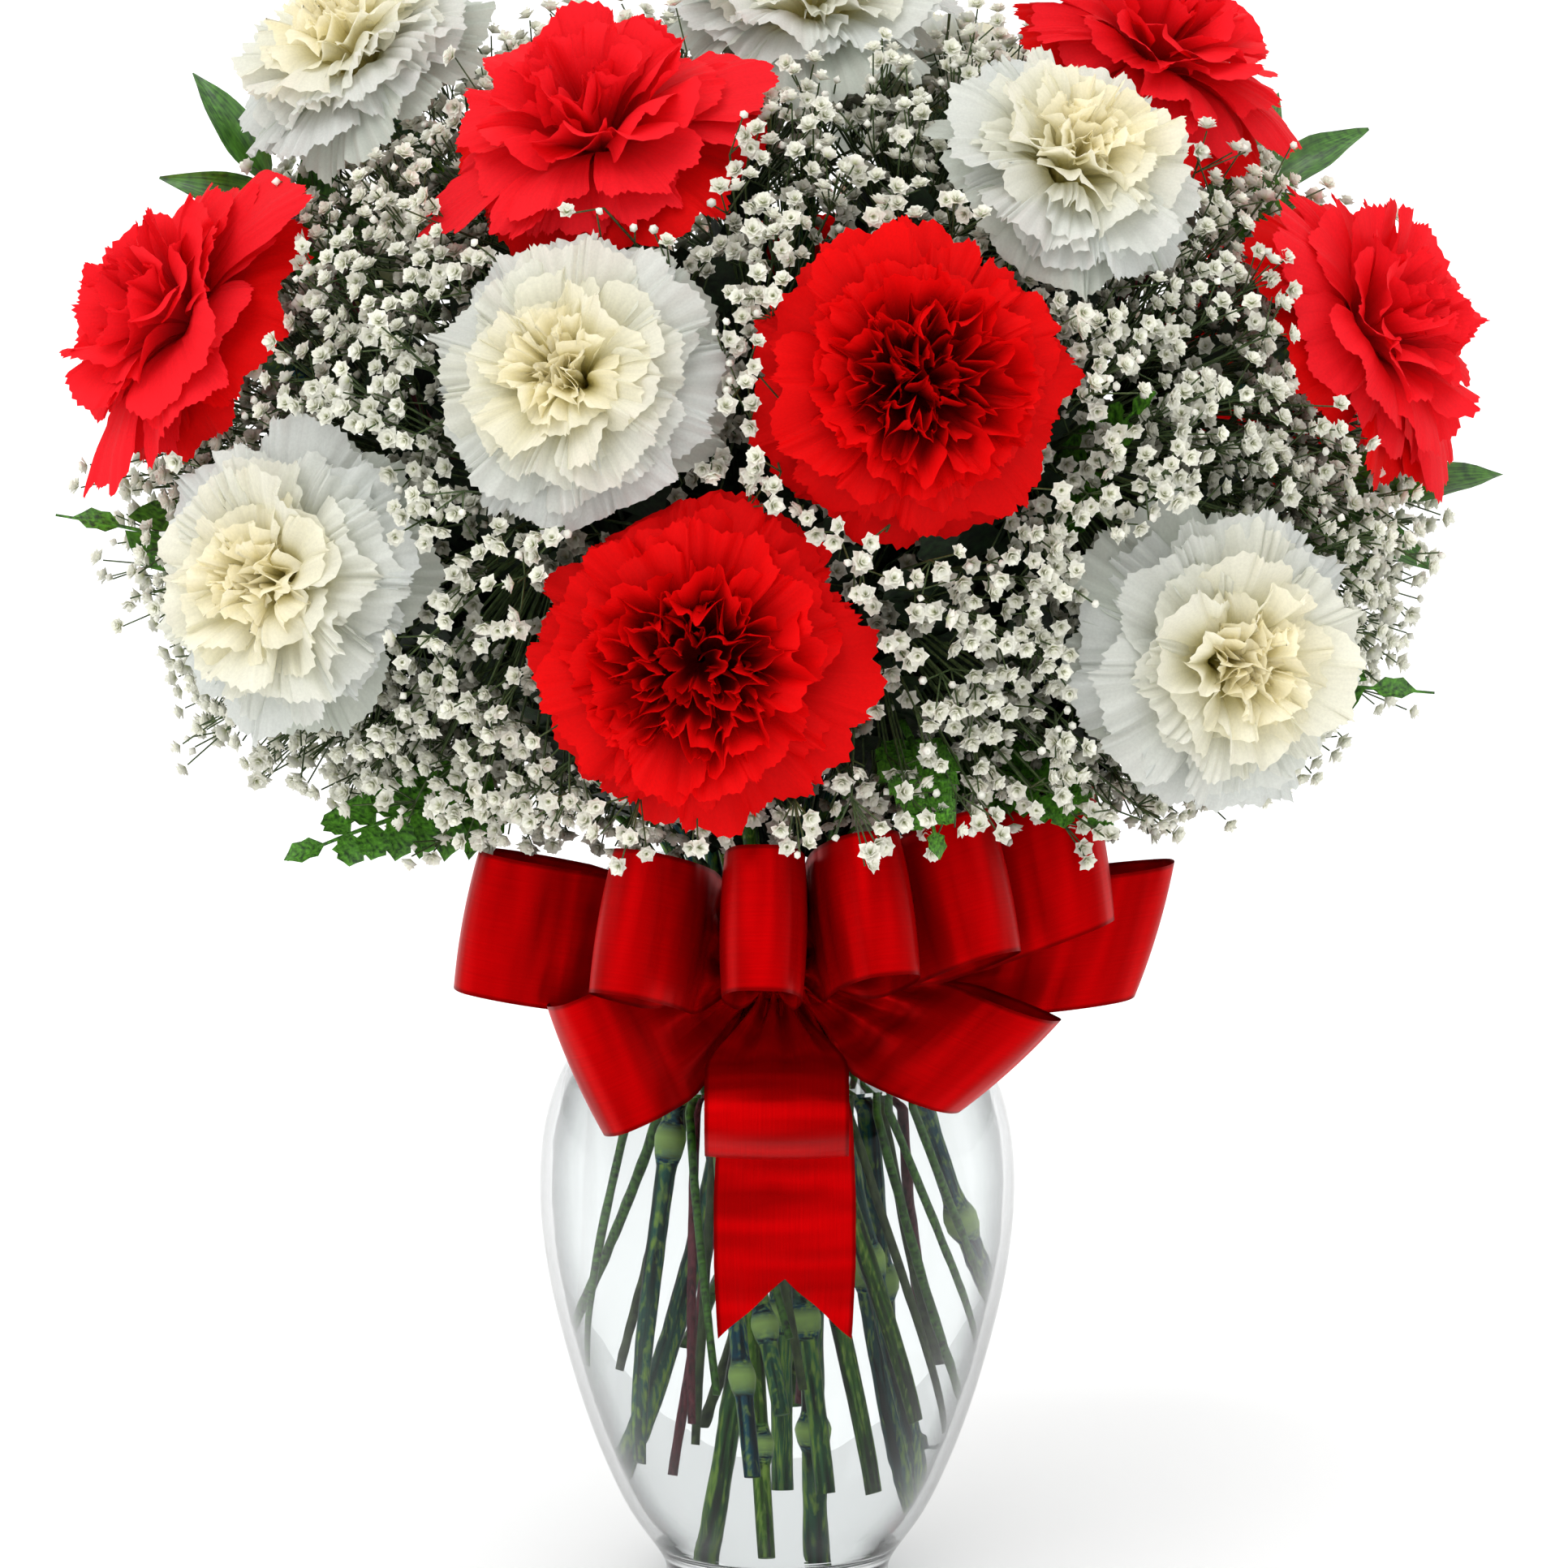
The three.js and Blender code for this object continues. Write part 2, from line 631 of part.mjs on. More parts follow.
// Fern frond: pinnae cut to the rib in the outline of one arched blade, on a slim stalk.
function makeFrond(frond, spot, cut) {
  const start = vec(frond.start);
  const tip = vec(frond.tip);
  const { along, side, face } = leafFrame(start, tip);
  const length = start.distanceTo(tip);
  const rib = (t) => start.clone().addScaledVector(along, t * length)
    .addScaledVector(face, 0.3 * length * t * (1 - t));
  const points = [];
  const triangles = [];
  for (let i = 0; i <= fernPairs; i += 1) {
    const t = i / fernPairs;
    const wide = 1.1 - 0.5 * t;
    points.push(rib(t).addScaledVector(side, -wide), rib(t).addScaledVector(side, wide));
  }
  for (let i = 0; i < fernPairs; i += 1) {
    const a = 2 * i;
    triangles.push([a, a + 2, a + 3], [a, a + 3, a + 1]);
    [-1, 1].forEach((hand) => {
      const inner = hand < 0 ? [a, a + 2] : [a + 1, a + 3];
      const t = (i + 0.5) / fernPairs;
      const reach = frond.half * (1 - 0.72 * t) * (i === 0 ? 0.8 : 1);
      const pinnaTip = (share) => rib(Math.min(t + 0.1 * share, 1))
        .addScaledVector(side, hand * reach * share)
        .addScaledVector(face, -0.12 * reach * share);
      const corners = inner.map((k) => points[k]);
      const order = hand < 0 ? [0, 2, 1] : [0, 1, 2];
      const fits = (share) => isClear(blade([...corners, pinnaTip(share)], [order], 1.8));
      const share = [1, 0.75, 0.5].find(fits) ?? 0.3;
      points.push(pinnaTip(share));
      const outer = points.length - 1;
      triangles.push(hand < 0 ? [inner[0], outer, inner[1]] : [inner[0], inner[1], outer]);
    });
  }
  const path = slimRoute(spot, cut, [rib(0.05)], along);
  return { piece: join([slimBar(path), blade(points, triangles, bladeThickness)]), path };
}

// Pointed leaf in four facets, a little arched, with its tip turned down.
function leaf(root, along, side, face, length, width) {
  const outline = [
    [0, 0, 0], [0.3, -0.44, 0.05], [0.3, 0.44, 0.05],
    [0.68, -0.38, 0.04], [0.68, 0.38, 0.04], [1, 0, -0.08],
  ];
  const points = outline.map(([x, y, z]) => root.clone().addScaledVector(along, x * length)
    .addScaledVector(side, y * width).addScaledVector(face, z * length));
  return blade(points, [[0, 1, 2], [1, 3, 4], [1, 4, 2], [3, 5, 4]], bladeThickness);
}

// Leafy sprig: pointed leaves left and right of a slim stalk, and one at its end.
function makeSprig(sprig, spot, cut) {
  const start = vec(sprig.start);
  const tip = vec(sprig.tip);
  const { along, side, face } = leafFrame(start, tip);
  const stalkEnd = tip.clone().addScaledVector(along, -leafLength);
  const path = slimRoute(spot, cut, [start], along);
  path.push(stalkEnd);
  const pieces = [slimBar(path)];
  for (let k = 0; k < sprigLeaves; k += 1) {
    const last = k === sprigLeaves - 1;
    const hand = k % 2 ? 1 : -1;
    const root = start.clone().lerp(stalkEnd, k / (sprigLeaves - 1));
    const slant = along.clone().addScaledVector(side, last ? 0 : hand * 0.9).normalize();
    const beside = face.clone().cross(slant);
    root.addScaledVector(slant, last ? -1.5 : -0.3);
    for (const share of [1, 0.8, 0.6, 0.45]) {
      const made = leaf(root, slant, beside, face, leafLength * share, leafWidth * share);
      if (isClear(made)) {
        pieces.push(made);
        break;
      }
    }
  }
  return { piece: join(pieces), path };
}

// Point of the bouquet's dome in a direction, at a share of its size.
function domePoint(unit, share) {
  return unit.clone().multiply(domeHalf).multiplyScalar(share).setZ(
    unit.z * domeHalf.z * share + domeHeight,
  );
}

// Directions from an even spiral over the dome that fall between the flower heads.
function gapDirections() {
  const golden = Math.PI * (3 - Math.sqrt(5));
  const found = [];
  for (let i = 0; i < floretPoints; i += 1) {
    const level = 1 - (2 * i + 1) / floretPoints;
    const flat = Math.sqrt(1 - level * level);
    const unit = new THREE.Vector3(flat * Math.cos(i * golden), flat * Math.sin(i * golden), level);
    const place = domePoint(unit, 1);
    const open = carnations.every(({ at, width }) => place.distanceTo(vec(at)) > 0.4 * width);
    if (level > -0.5 && open) {
      found.push(unit);
    }
  }
  return found;
}

// Hubs inside the dome, well apart, that the baby's breath branches from, grouped by spray.
function sprayHubs(gaps) {
  const hubs = [];
  gaps.forEach((unit) => {
    const place = domePoint(unit, hubShare);
    if (hubs.every((other) => other.distanceTo(place) > hubSpacing)) {
      hubs.push(place);
    }
  });
  hubs.sort((a, b) => Math.atan2(a.y, a.x) - Math.atan2(b.y, b.x));
  return Array.from({ length: sprayCount }, (_, g) => (
    hubs.filter((_hub, k) => Math.floor((k * sprayCount) / hubs.length) === g)
  ));
}

// Where a spray forks, at a share of the way out to the middle of its hubs, turned by an angle.
function forkOf(hubs, share = 0.5, turn = 0) {
  const middle = hubs.reduce((sum, p) => sum.add(p), new THREE.Vector3());
  middle.multiplyScalar(share / hubs.length).setZ(forkHeight);
  return middle.applyAxisAngle(up, turn);
}

// Stand-in for a floret on its twig, used to find a free way for it.
function floretProbe(hub, place, facing) {
  const start = place.clone().sub(hub).setLength(2 * beadRadius).add(hub);
  const path = [start, place.clone().addScaledVector(facing, -0.5 * floretRadius), place,
    place.clone().addScaledVector(facing, 0.4 * floretRadius)];
  return bar(path, [twigFoot, twigRadius + 0.6, floretRadius + 1, floretRadius / 3], 6);
}

// Twig and floret grown out of one facet of a hub, as further faces of the same sheet.
function growFloret(points, triangles, facet, { place, facing }) {
  const middle = facet.reduce((sum, i) => sum.add(points[i]), new THREE.Vector3()).divideScalar(3);
  const twigTop = place.clone().addScaledVector(facing, -0.5 * floretRadius);
  const along = twigTop.clone().sub(middle).normalize();
  const spread = (i, axis) => {
    const way = points[i].clone().sub(middle);
    return way.addScaledVector(axis, -way.dot(axis)).normalize();
  };
  const thin = facet.map((i) => (
    points.push(twigTop.clone().addScaledVector(spread(i, along), twigRadius)) - 1
  ));
  const ways = facet.map((i) => spread(i, facing));
  const tip = (way) => points.push(place.clone().addScaledVector(way, floretRadius)) - 1;
  const corners = ways.map(tip);
  const between = ways.map((way, i) => tip(way.clone().add(ways[(i + 1) % 3]).normalize()));
  const apex = points.push(place.clone().addScaledVector(facing, 0.35 * floretRadius)) - 1;
  [0, 1, 2].forEach((i) => {
    const j = (i + 1) % 3;
    triangles.push([facet[i], facet[j], thin[j]], [facet[i], thin[j], thin[i]]);
    triangles.push([thin[i], thin[j], between[i]], [thin[i], between[i], corners[i]]);
    triangles.push([thin[j], corners[j], between[i]]);
    triangles.push([corners[i], between[i], apex], [between[i], corners[j], apex]);
  });
}

// Facets and corners of a hub, a small bead with twenty faces.
function beadSheet(place, radius = beadRadius) {
  const ball = new THREE.IcosahedronGeometry(radius, 0);
  ball.deleteAttribute('normal');
  ball.deleteAttribute('uv');
  const merged = mergeVertices(ball, 1e-3);
  const corner = merged.getAttribute('position');
  const points = Array.from({ length: corner.count }, (_, i) => (
    new THREE.Vector3().fromBufferAttribute(corner, i).add(place)
  ));
  const index = [...merged.getIndex().array];
  const facets = Array.from({ length: index.length / 3 }, (_, i) => index.slice(3 * i, 3 * i + 3));
  return { points, facets };
}

function bead(place, radius) {
  const { points, facets } = beadSheet(place, radius);
  return solid(points, facets);
}

// Bead with every floret that it carries, each on the facet that looks its way.
function makeHub({ at, florets }) {
  const { points, facets } = beadSheet(at);
  const triangles = [];
  facets.forEach((facet) => {
    const own = florets.find((item) => item.facet === facet.join());
    if (own) {
      growFloret(points, triangles, facet, own);
    } else {
      triangles.push(facet);
    }
  });
  return solid(points, triangles);
}

// Free facet of a hub that looks most nearly toward a place, or none.
function facetToward(hub, place) {
  const { points, facets } = beadSheet(hub.at);
  const toward = place.clone().sub(hub.at).normalize();
  const open = facets.filter((facet) => !hub.florets.some((item) => item.facet === facet.join()));
  const rated = open.map((facet) => {
    const middle = facet.reduce((sum, i) => sum.add(points[i]), new THREE.Vector3()).divideScalar(3);
    return { facet: facet.join(), turn: middle.sub(hub.at).normalize().dot(toward) };
  });
  rated.sort((a, b) => b.turn - a.turn);
  return rated.length && rated[0].turn > leastFacing ? rated[0].facet : null;
}

// Stalk and arms of each spray, kept clear of what is there already.
function makeSprayFrame(hubs, spot, cut) {
  const turns = [0, 0.15, -0.15, 0.3, -0.3];
  const forks = turns.flatMap((turn) => [0.5, 0.42, 0.58].map((s) => forkOf(hubs, s, turn)));
  const path = slimRoute(spot, cut, forks, up);
  const fork = path[path.length - 1];
  const pieces = [slimBar(path)];
  const kept = [];
  hubs.forEach((at) => {
    const arm = bar([fork.clone().addScaledVector(up, -1), at], [1, 0.9], 3);
    if (isClear(join([arm, bead(at, 2 * beadRadius)]))) {
      pieces.push(arm);
      kept.push({ at, florets: [] });
    }
  });
  const probe = join([...pieces, ...kept.map(({ at }) => bead(at, beadRadius + 1))]);
  return { piece: join(pieces), probe, path, hubs: kept };
}

// Each gap point gets a floret on a twig from the nearest hub that it reaches unhindered.
function addFlorets(sprays, gapUnits) {
  const hubs = sprays.flatMap((spray) => spray.hubs.map((hub) => ({ hub, spray })));
  gapUnits.forEach((unit) => {
    const facing = unit.clone().multiply(domeHalf).normalize();
    for (const share of [1.02, 0.95, 0.88]) {
      const place = domePoint(unit, share);
      const near = [...hubs];
      near.sort((a, b) => a.hub.at.distanceTo(place) - b.hub.at.distanceTo(place));
      const found = near.slice(0, 4).find(({ hub }) => (
        facetToward(hub, place) !== null && isClear(floretProbe(hub.at, place, facing))
      ));
      if (found) {
        const { spray, hub } = found;
        hub.florets.push({ place, facing, facet: facetToward(hub, place) });
        const entry = placed.find(({ name }) => name === spray.name);
        entry.piece = entry.piece.add(floretProbe(hub.at, place, facing));
        entry.box = boxOf(entry.piece);
        break;
      }
    }
  });
}

function hole(path) {
  const down = path[0].clone().sub(path[1]).setLength(holeGap);
  const top = path.find(({ z }) => z > waterLevel);
  return [path[0].clone().add(down), top];
}

const gaps = gapDirections();
const hubGroups = sprayHubs(gaps);
const targets = [
  ...carnations.map(({ at, faces }) => (
    vec(at).addScaledVector(direction(...faces), -(rootDepth + calyxLength))
  )),
  ...fernFronds.map(({ start }) => vec(start)),
  ...sprigs.map(({ start }) => vec(start)),
  ...hubGroups.map((hubs) => forkOf(hubs)),
];
const spots = neckSpots(targets);
const cutHeight = (i) => lowestCut + ((i * cutStep) % cutRange);
const holes = [];

addNode('vase', makeVase(), 'glass');
addNode('neck_tie', makeTie(), 'ribbon');
addNode('bow', makeBow(), 'ribbon');

carnations.forEach((head, i) => {
  const { path, radii } = carnationStemPath(head, spots[i], cutHeight(i), stemNodeShares[i % 4]);
  addNode(`stem_${head.name}`, bar(path, radii, 5), 'stem');
  const wide = radii.slice(0, 4).map((r) => r + holeGap);
  const below = [hole(path)[0], ...path.slice(1, 4), path[4]];
  holes.push(bar(below, [...wide, wide[0]], 5));
});

carnations.forEach((head, i) => {
  addNode(`carnation_${head.name}`, makeBloom(head, 0.7 * i), head.name.split('_')[0]);
});

fernFronds.forEach((frond, i) => {
  const k = carnations.length + i;
  const { piece, path } = makeFrond(frond, spots[k], cutHeight(k) + slimShorter);
  addNode(`fern_${i + 1}`, piece, 'fern');
  holes.push(bar(hole(path), [slimStem + holeGap, slimStem + holeGap], 3));
});

sprigs.forEach((sprig, i) => {
  const k = carnations.length + fernFronds.length + i;
  const { piece, path } = makeSprig(sprig, spots[k], cutHeight(k) + slimShorter);
  addNode(`leaf_sprig_${i + 1}`, piece, 'leaf');
  holes.push(bar(hole(path), [slimStem + holeGap, slimStem + holeGap], 3));
});

const sprays = hubGroups.map((hubs, i) => {
  const k = carnations.length + fernFronds.length + sprigs.length + i;
  const spray = makeSprayFrame(hubs, spots[k], cutHeight(k) + sprayShorter);
  spray.name = `gypsophila_${i + 1}`;
  placed.push({ name: spray.name, piece: spray.probe, box: boxOf(spray.probe) });
  holes.push(bar(hole(spray.path), [slimStem + holeGap, slimStem + holeGap], 3));
  return spray;
});
addFlorets(sprays, gaps);
placed.splice(placed.findIndex(({ name }) => name === sprays[0].name));
sprays.forEach(({ name, piece, hubs }) => {
  addNode(name, join([piece, ...hubs.map(makeHub)]), 'gypsophila');
});

addNode('water', makeWater(holes), 'water');

export default model;
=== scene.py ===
"""Carnations and baby's breath in a clear glass vase with a red satin bow."""
import math

import bpy
import numpy as np
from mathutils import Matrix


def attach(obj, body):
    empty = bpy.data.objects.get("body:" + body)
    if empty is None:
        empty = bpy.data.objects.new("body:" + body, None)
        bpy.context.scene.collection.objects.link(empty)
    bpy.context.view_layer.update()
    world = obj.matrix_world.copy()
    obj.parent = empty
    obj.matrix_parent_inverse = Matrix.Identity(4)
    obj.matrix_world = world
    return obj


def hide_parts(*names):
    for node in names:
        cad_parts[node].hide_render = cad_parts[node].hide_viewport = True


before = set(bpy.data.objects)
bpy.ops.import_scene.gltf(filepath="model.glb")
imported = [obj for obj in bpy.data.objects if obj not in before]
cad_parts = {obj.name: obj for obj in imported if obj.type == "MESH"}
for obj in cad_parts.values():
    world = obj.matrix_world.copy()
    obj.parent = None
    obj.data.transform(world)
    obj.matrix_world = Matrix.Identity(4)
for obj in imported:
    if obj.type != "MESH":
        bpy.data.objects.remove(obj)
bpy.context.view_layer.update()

bl_info = {
    "name": "Carnations in a Vase",
    "version": (1, 0, 0),
    "blender": (4, 5, 0),
    "location": "View3D > Sidebar > Bouquet",
    "description": "Makes a bouquet of carnations and baby's breath in a glass vase with a bow",
    "category": "Add Mesh",
}

MM = 0.001
UP = np.array([0.0, 0.0, 1.0])

# Seeds of the random draws. Each head adds its number to its seed.
HEAD_SEED = 100
SPRAY_SEED = 7
FOLIAGE_SEED = 21

# Vase: radius and height of the outer wall in millimetres, from the foot to the lip.
VASE_OUTLINE = np.array([
    (29.5, 0), (31, 6), (41.4, 22), (52, 48.5), (60.6, 82), (62.8, 110),
    (58.4, 133), (46, 154), (37.4, 168), (38.4, 178), (45.5, 190),
], float)
COARSE_SAMPLES = 9
FINE_SAMPLES = 54
SEGMENTS = 96
GLASS_WALL = 3.0
VASE_FLOOR = 9.0
FLOOR_CURVE = 4.0
LIP_RISE = 1.2
# The foot is hollowed a little, so that it stands on a ring: radius and height.
FOOT_RING = [(0, 1.6), (20, 1.4), (25.5, 0.2), (27, 0)]
WATER_LEVEL = 138.0
# The water creeps up the glass at its edge: distance in from the glass, and rise.
MENISCUS = ((0, 0.8), (0.8, 0.2), (2.5, 0))
CONTACT_GAP = 0.3

# Stems: the ring that they pass in the neck, and how they turn and spread below it.
NECK_HEIGHT = 172.0
NECK_REACH = 29.5
NECK_SPACING = 6.7
STEM_TURN = math.radians(70)
STEM_FOOT_HEIGHT = 12.0
STEM_FOOT_SPREAD = 2.8
STEM_WALL_ROOM = 4.5
STEM_RADIUS = 2.1
NODE_RADIUS = 3.3
NODE_SHARES = (0.2, 0.33, 0.46, 0.59)
SLIM_RADIUS = 1.0
LOWEST_CUT = 14
CUT_RANGE = 34
CUT_STEP = 17
SLIM_SHORTER = 20
SPRAY_SHORTER = 30

# Dome that the flower faces lie on, and the flower heads' own sizes.
DOME_HEIGHT = 292.0
DOME_HALF = np.array([163.0, 132.0, 122.0])
ROOT_DEPTH = 9.0
CALYX_LENGTH = 27.0
CALYX_RADIUS = 6.0

# Carnations: name, middle of the head, way it faces (round from the front, above level), width.
HEADS = [
    ("white_1", (-107, -20, 403), (-50, 50), 78),
    ("white_2", (8, -24, 416), (0, 70), 80),
    ("white_3", (72, -80, 377), (30, 44), 76),
    ("white_4", (-49, -110, 326), (-18, 14), 79),
    ("white_5", (-121, -88, 275), (-34, 4), 84),
    ("white_6", (110, -92, 256), (28, 0), 86),
    ("white_7", (48, 56, 388), (140, 52), 76),
    ("white_8", (-118, 62, 330), (-120, 24), 78),
    ("red_1", (-152, -44, 339), (-58, 25), 82),
    ("red_2", (-45, -70, 386), (-18, 50), 84),
    ("red_3", (34, -120, 326), (8, 10), 83),
    ("red_4", (-19, -122, 259), (-5, 0), 87),
    ("red_5", (98, -14, 405), (44, 50), 80),
    ("red_6", (152, -38, 335), (60, 24), 82),
    ("red_7", (136, 54, 318), (112, 16), 78),
    ("red_8", (8, 112, 322), (176, 14), 80),
]
DEEP_REDS = ("red_3", "red_4", "red_8")

# Fern fronds: where the blade starts, its tip, and the pinnae's half length.
FRONDS = [
    ((-70, -46, 217), (-122, -76, 204), 17),
    ((33, -88, 236), (39, -131, 213), 13),
    ((70, -62, 290), (92, -97, 322), 13),
    ((106, -34, 240), (166, -52, 243), 17),
    ((-120, -22, 268), (-184, -30, 286), 17),
    ((48, -54, 226), (83, -98, 214), 14),
    ((-20, 84, 262), (-34, 150, 272), 18),
    ((66, 66, 232), (112, 112, 226), 18),
    ((-66, 62, 232), (-116, 108, 232), 18),
]
# Pairs of pinnae on a frond and lobes on a pinna: broad fronds, whose pinnae show, and others.
BROAD_FRONDS = (3, 4)
BROAD_PINNAE, FINE_PINNAE = (4, 1), (7, 3)

# Sprigs of pointed leaves: the first leaf's place and the tip of the last.
SPRIGS = [
    ((-112, 4, 340), (-150, 2, 398)),
    ((128, -4, 282), (188, -6, 296)),
    ((112, 26, 356), (156, 34, 384)),
    ((-44, 66, 352), (-68, 96, 402)),
]
SPRIG_LEAVES = 5
LEAF_LENGTH = 34.0
LEAF_WIDTH = 11.5

# Fern inside the dome: how many fronds, the height and spread of their roots, half length of
# their pinnae, and the share of the way out at which a blade starts.
INNER_FRONDS = 90
INNER_ROOT_HEIGHT = 196.0
INNER_ROOT_SPREAD = 18
INNER_HALF = 30
INNER_BLADE_START = 0.42

# Baby's breath: the points between the heads that it branches to, and its hubs.
GAP_POINTS = 248
SPRAY_COUNT = 6
HUB_SPACING = 52.0
HUB_SHARE = 0.56
FORK_HEIGHT = 214.0

# Its clusters: how many lie in each layer, and the layer's shares of the way to the dome; the
# sprays that stand out past the rest, the share past which they do, and those over the bow.
CLUSTER_LAYERS = ((1750, 0.94, 1.04), (1250, 0.80, 0.91))
STRAY_SPRAYS = 130
STRAY_SHARE = 1.045
SKIRT_SPRAYS = 22
FLORET_SPREAD = 3.6
FLORET_GAP = 3.7
FLORET_RADII = (2.4, 3.1)
LOWEST_FLORET = 203
# A floret's rings of petals, in floret radii: count, reach, half width, rise.
FLORET_RINGS = ((6, 1.0, 0.38, 0.2), (6, 0.74, 0.36, 0.5), (4, 0.42, 0.28, 0.75))

# Ribbon: its width where it is gathered, its pleats there, and the band round the neck.
RIBBON_GATHER = 9.0
PLEATS = 3
DEEPEST_PLEAT = 2.6
RIBBON_CROWN = 0.9
TIE_HEIGHT = 171.5
TIE_WIDTH = 10.0
TIE_COLUMNS = 9
NECK_RADIUS = 39.0
KNOT = np.array([0.0, -49.3, TIE_HEIGHT])
KNOT_RADIUS = 9.0
WRAP_WIDTH = 12.0
BARREL = 11.0
# Bow: end of each loop, whether it stands upright, and how far its end leans, in degrees.
LOOPS = [
    ((-79, -62, 187), True, 0), ((-39, -108, 194), True, 0), ((-4, -120, 197), True, 0),
    ((27, -116, 200), True, 0), ((54, -101, 203), True, 6), ((82, -72, 206), True, 12),
    ((97, -48, 182), True, 22), ((-50, -76, 150), False, 0), ((0, -88, 133), False, 0),
    ((58, -77, 151), False, -28),
]
# Side view of a loop, as shares of its length and of BARREL, from the knot and back to it.
LOOP_OUTLINE = [
    (0, 0.07), (0.36, 0.42), (0.74, 0.96), (0.95, 0.72), (1, 0),
    (0.95, -0.72), (0.74, -0.96), (0.36, -0.42), (0, -0.07),
]
LOOP_SAMPLES = 57
# Tail: points after the knot, widths along it, and the depth of the notch in its end.
TAIL = [(1, -62, 154), (2, -67, 138), (2, -67, 116), (2, -66, 98), (2, -65, 79)]
TAIL_WIDTHS = (RIBBON_GATHER, 26, 34, 36, 36, 34)
TAIL_NOTCH = 16.0
TAIL_SAMPLES = 36

# Camera: elevation, distance and target that give the photograph's view.
CAMERA_ELEVATION = math.radians(8)
CAMERA_DISTANCE = 1.5
CAMERA_TARGET = (0.0018, 0.0, 0.2125)
HALF_FRAME = 0.2055
SENSOR = 36.0

# Studio light: the white surround, and broad soft lamps as far away as the sun, so that they
# light the floor evenly: name, way round from the front, height in degrees, strength, softness.
WORLD_LIGHT = 1.05
LAMPS = [("Key", -30, 52, 1.15, 50), ("Back", 150, 50, 0.3, 60)]
# Floor: half its side, and how far it lies below the vase's foot, in metres.
FLOOR_HALF = 200.0
FLOOR_DROP = 0.0002


def colour(code):
    """Linear RGBA from an sRGB hex code."""
    parts = [int(code[i:i + 2], 16) / 255 for i in (1, 3, 5)]
    line = [c / 12.92 if c <= 0.04045 else ((c + 0.055) / 1.055) ** 2.4 for c in parts]
    return (*line, 1.0)


def unit(v):
    v = np.asarray(v, float)
    return v / np.linalg.norm(v)


def direction(around, above):
    """Unit vector from an angle round the vase, counted from the front, and one above level."""
    a, b = math.radians(around), math.radians(above)
    return np.array([math.sin(a) * math.cos(b), -math.cos(a) * math.cos(b), math.sin(b)])


def cubic(p0, p1, p2, p3, t):
    """Points of a cubic Bezier curve at the shares t."""
    t = np.asarray(t, float)[:, None]
    s = 1 - t
    return s ** 3 * p0 + 3 * s * s * t * p1 + 3 * s * t * t * p2 + t ** 3 * p3


def smooth_line(points, count):
    """Catmull-Rom line through the points, with that many samples."""
    points = np.asarray(points, float)
    last = len(points) - 1
    places = np.linspace(0, last, count)
    k = np.minimum(places.astype(int), last - 1)
    t = (places - k)[:, None]
    p0, p1, p2, p3 = (points[np.clip(k + i, 0, last)] for i in (-1, 0, 1, 2))
    v1, v2 = (p2 - p0) / 2, (p3 - p1) / 2
    return ((2 * p1 - 2 * p2 + v1 + v2) * t ** 3
            + (3 * p2 - 3 * p1 - 2 * v1 - v2) * t ** 2 + v1 * t + p1)


class Form:
    """Points, faces and per-point values of one piece, gathered a patch at a time, in mm."""

    def __init__(self):
        self.points, self.faces, self.finishes, self.lays = [], [], [], []
        self.count = 0

    def add(self, points, faces, lay=(0.0, 0.0, 0.0), finish=0):
        points = np.asarray(points, float).reshape(-1, 3)
        self.points.append(points)
        self.lays.append(np.broadcast_to(np.asarray(lay, float), points.shape))
        self.faces.extend((np.asarray(face) + self.count).tolist() for face in faces)
        self.finishes.extend([finish] * len(faces))
        self.count += len(points)

    def piece(self, name, materials, slot, replaces=()):
        mesh = bpy.data.meshes.new(name)
        points = np.concatenate(self.points) * MM
        mesh.from_pydata(points.tolist(), [], self.faces)
        mesh.attributes.new("lay", "FLOAT_VECTOR", "POINT")
        mesh.attributes["lay"].data.foreach_set("vector", np.concatenate(self.lays).ravel())
        for material in materials:
            mesh.materials.append(material)
        mesh.polygons.foreach_set("material_index", self.finishes)
        mesh.polygons.foreach_set("use_smooth", [True] * len(mesh.polygons))
        mesh.update()
        piece = bpy.data.objects.new(name, mesh)
        bpy.context.scene.collection.objects.link(piece)
        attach(piece, "root")
        if replaces:
            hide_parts(*replaces)
        return piece


def lay_grid(points, across, along, tone=0.0):
    """Values that the materials read: how far across and along a piece, and its tone."""
    lay = np.zeros_like(points)
    lay[..., 0], lay[..., 1], lay[..., 2] = across, along, tone
    return lay.reshape(-1, 3)


def grid_faces(rows, columns, wrap=False):
    """Quads of a grid of points in rows, closed round on itself where it wraps."""
    r, c = np.meshgrid(np.arange(rows - 1), np.arange(columns if wrap else columns - 1),
                       indexing="ij")
    a, b = r * columns + c, r * columns + (c + 1) % columns
    return np.stack([a, b, b + columns, a + columns], -1).reshape(-1, 4)


def tangents(path):
    along = np.gradient(path, axis=0)
    return along / np.linalg.norm(along, axis=1)[:, None]


def distances(path):
    """Distance of each point of a path from its start, along the path."""
    return np.concatenate([[0], np.cumsum(np.linalg.norm(np.diff(path, axis=0), axis=1))])


def directions_across(path):
    """Two square directions at each point of a path, turning as little as may be."""
    along = tangents(path)
    across = np.empty_like(along)
    last = np.array(UP if abs(along[0, 2]) < 0.9 else (1, 0, 0), float)
    for i, t in enumerate(along):
        last = unit(last - t * last.dot(t))
        across[i] = last
    return across, np.cross(along, across)


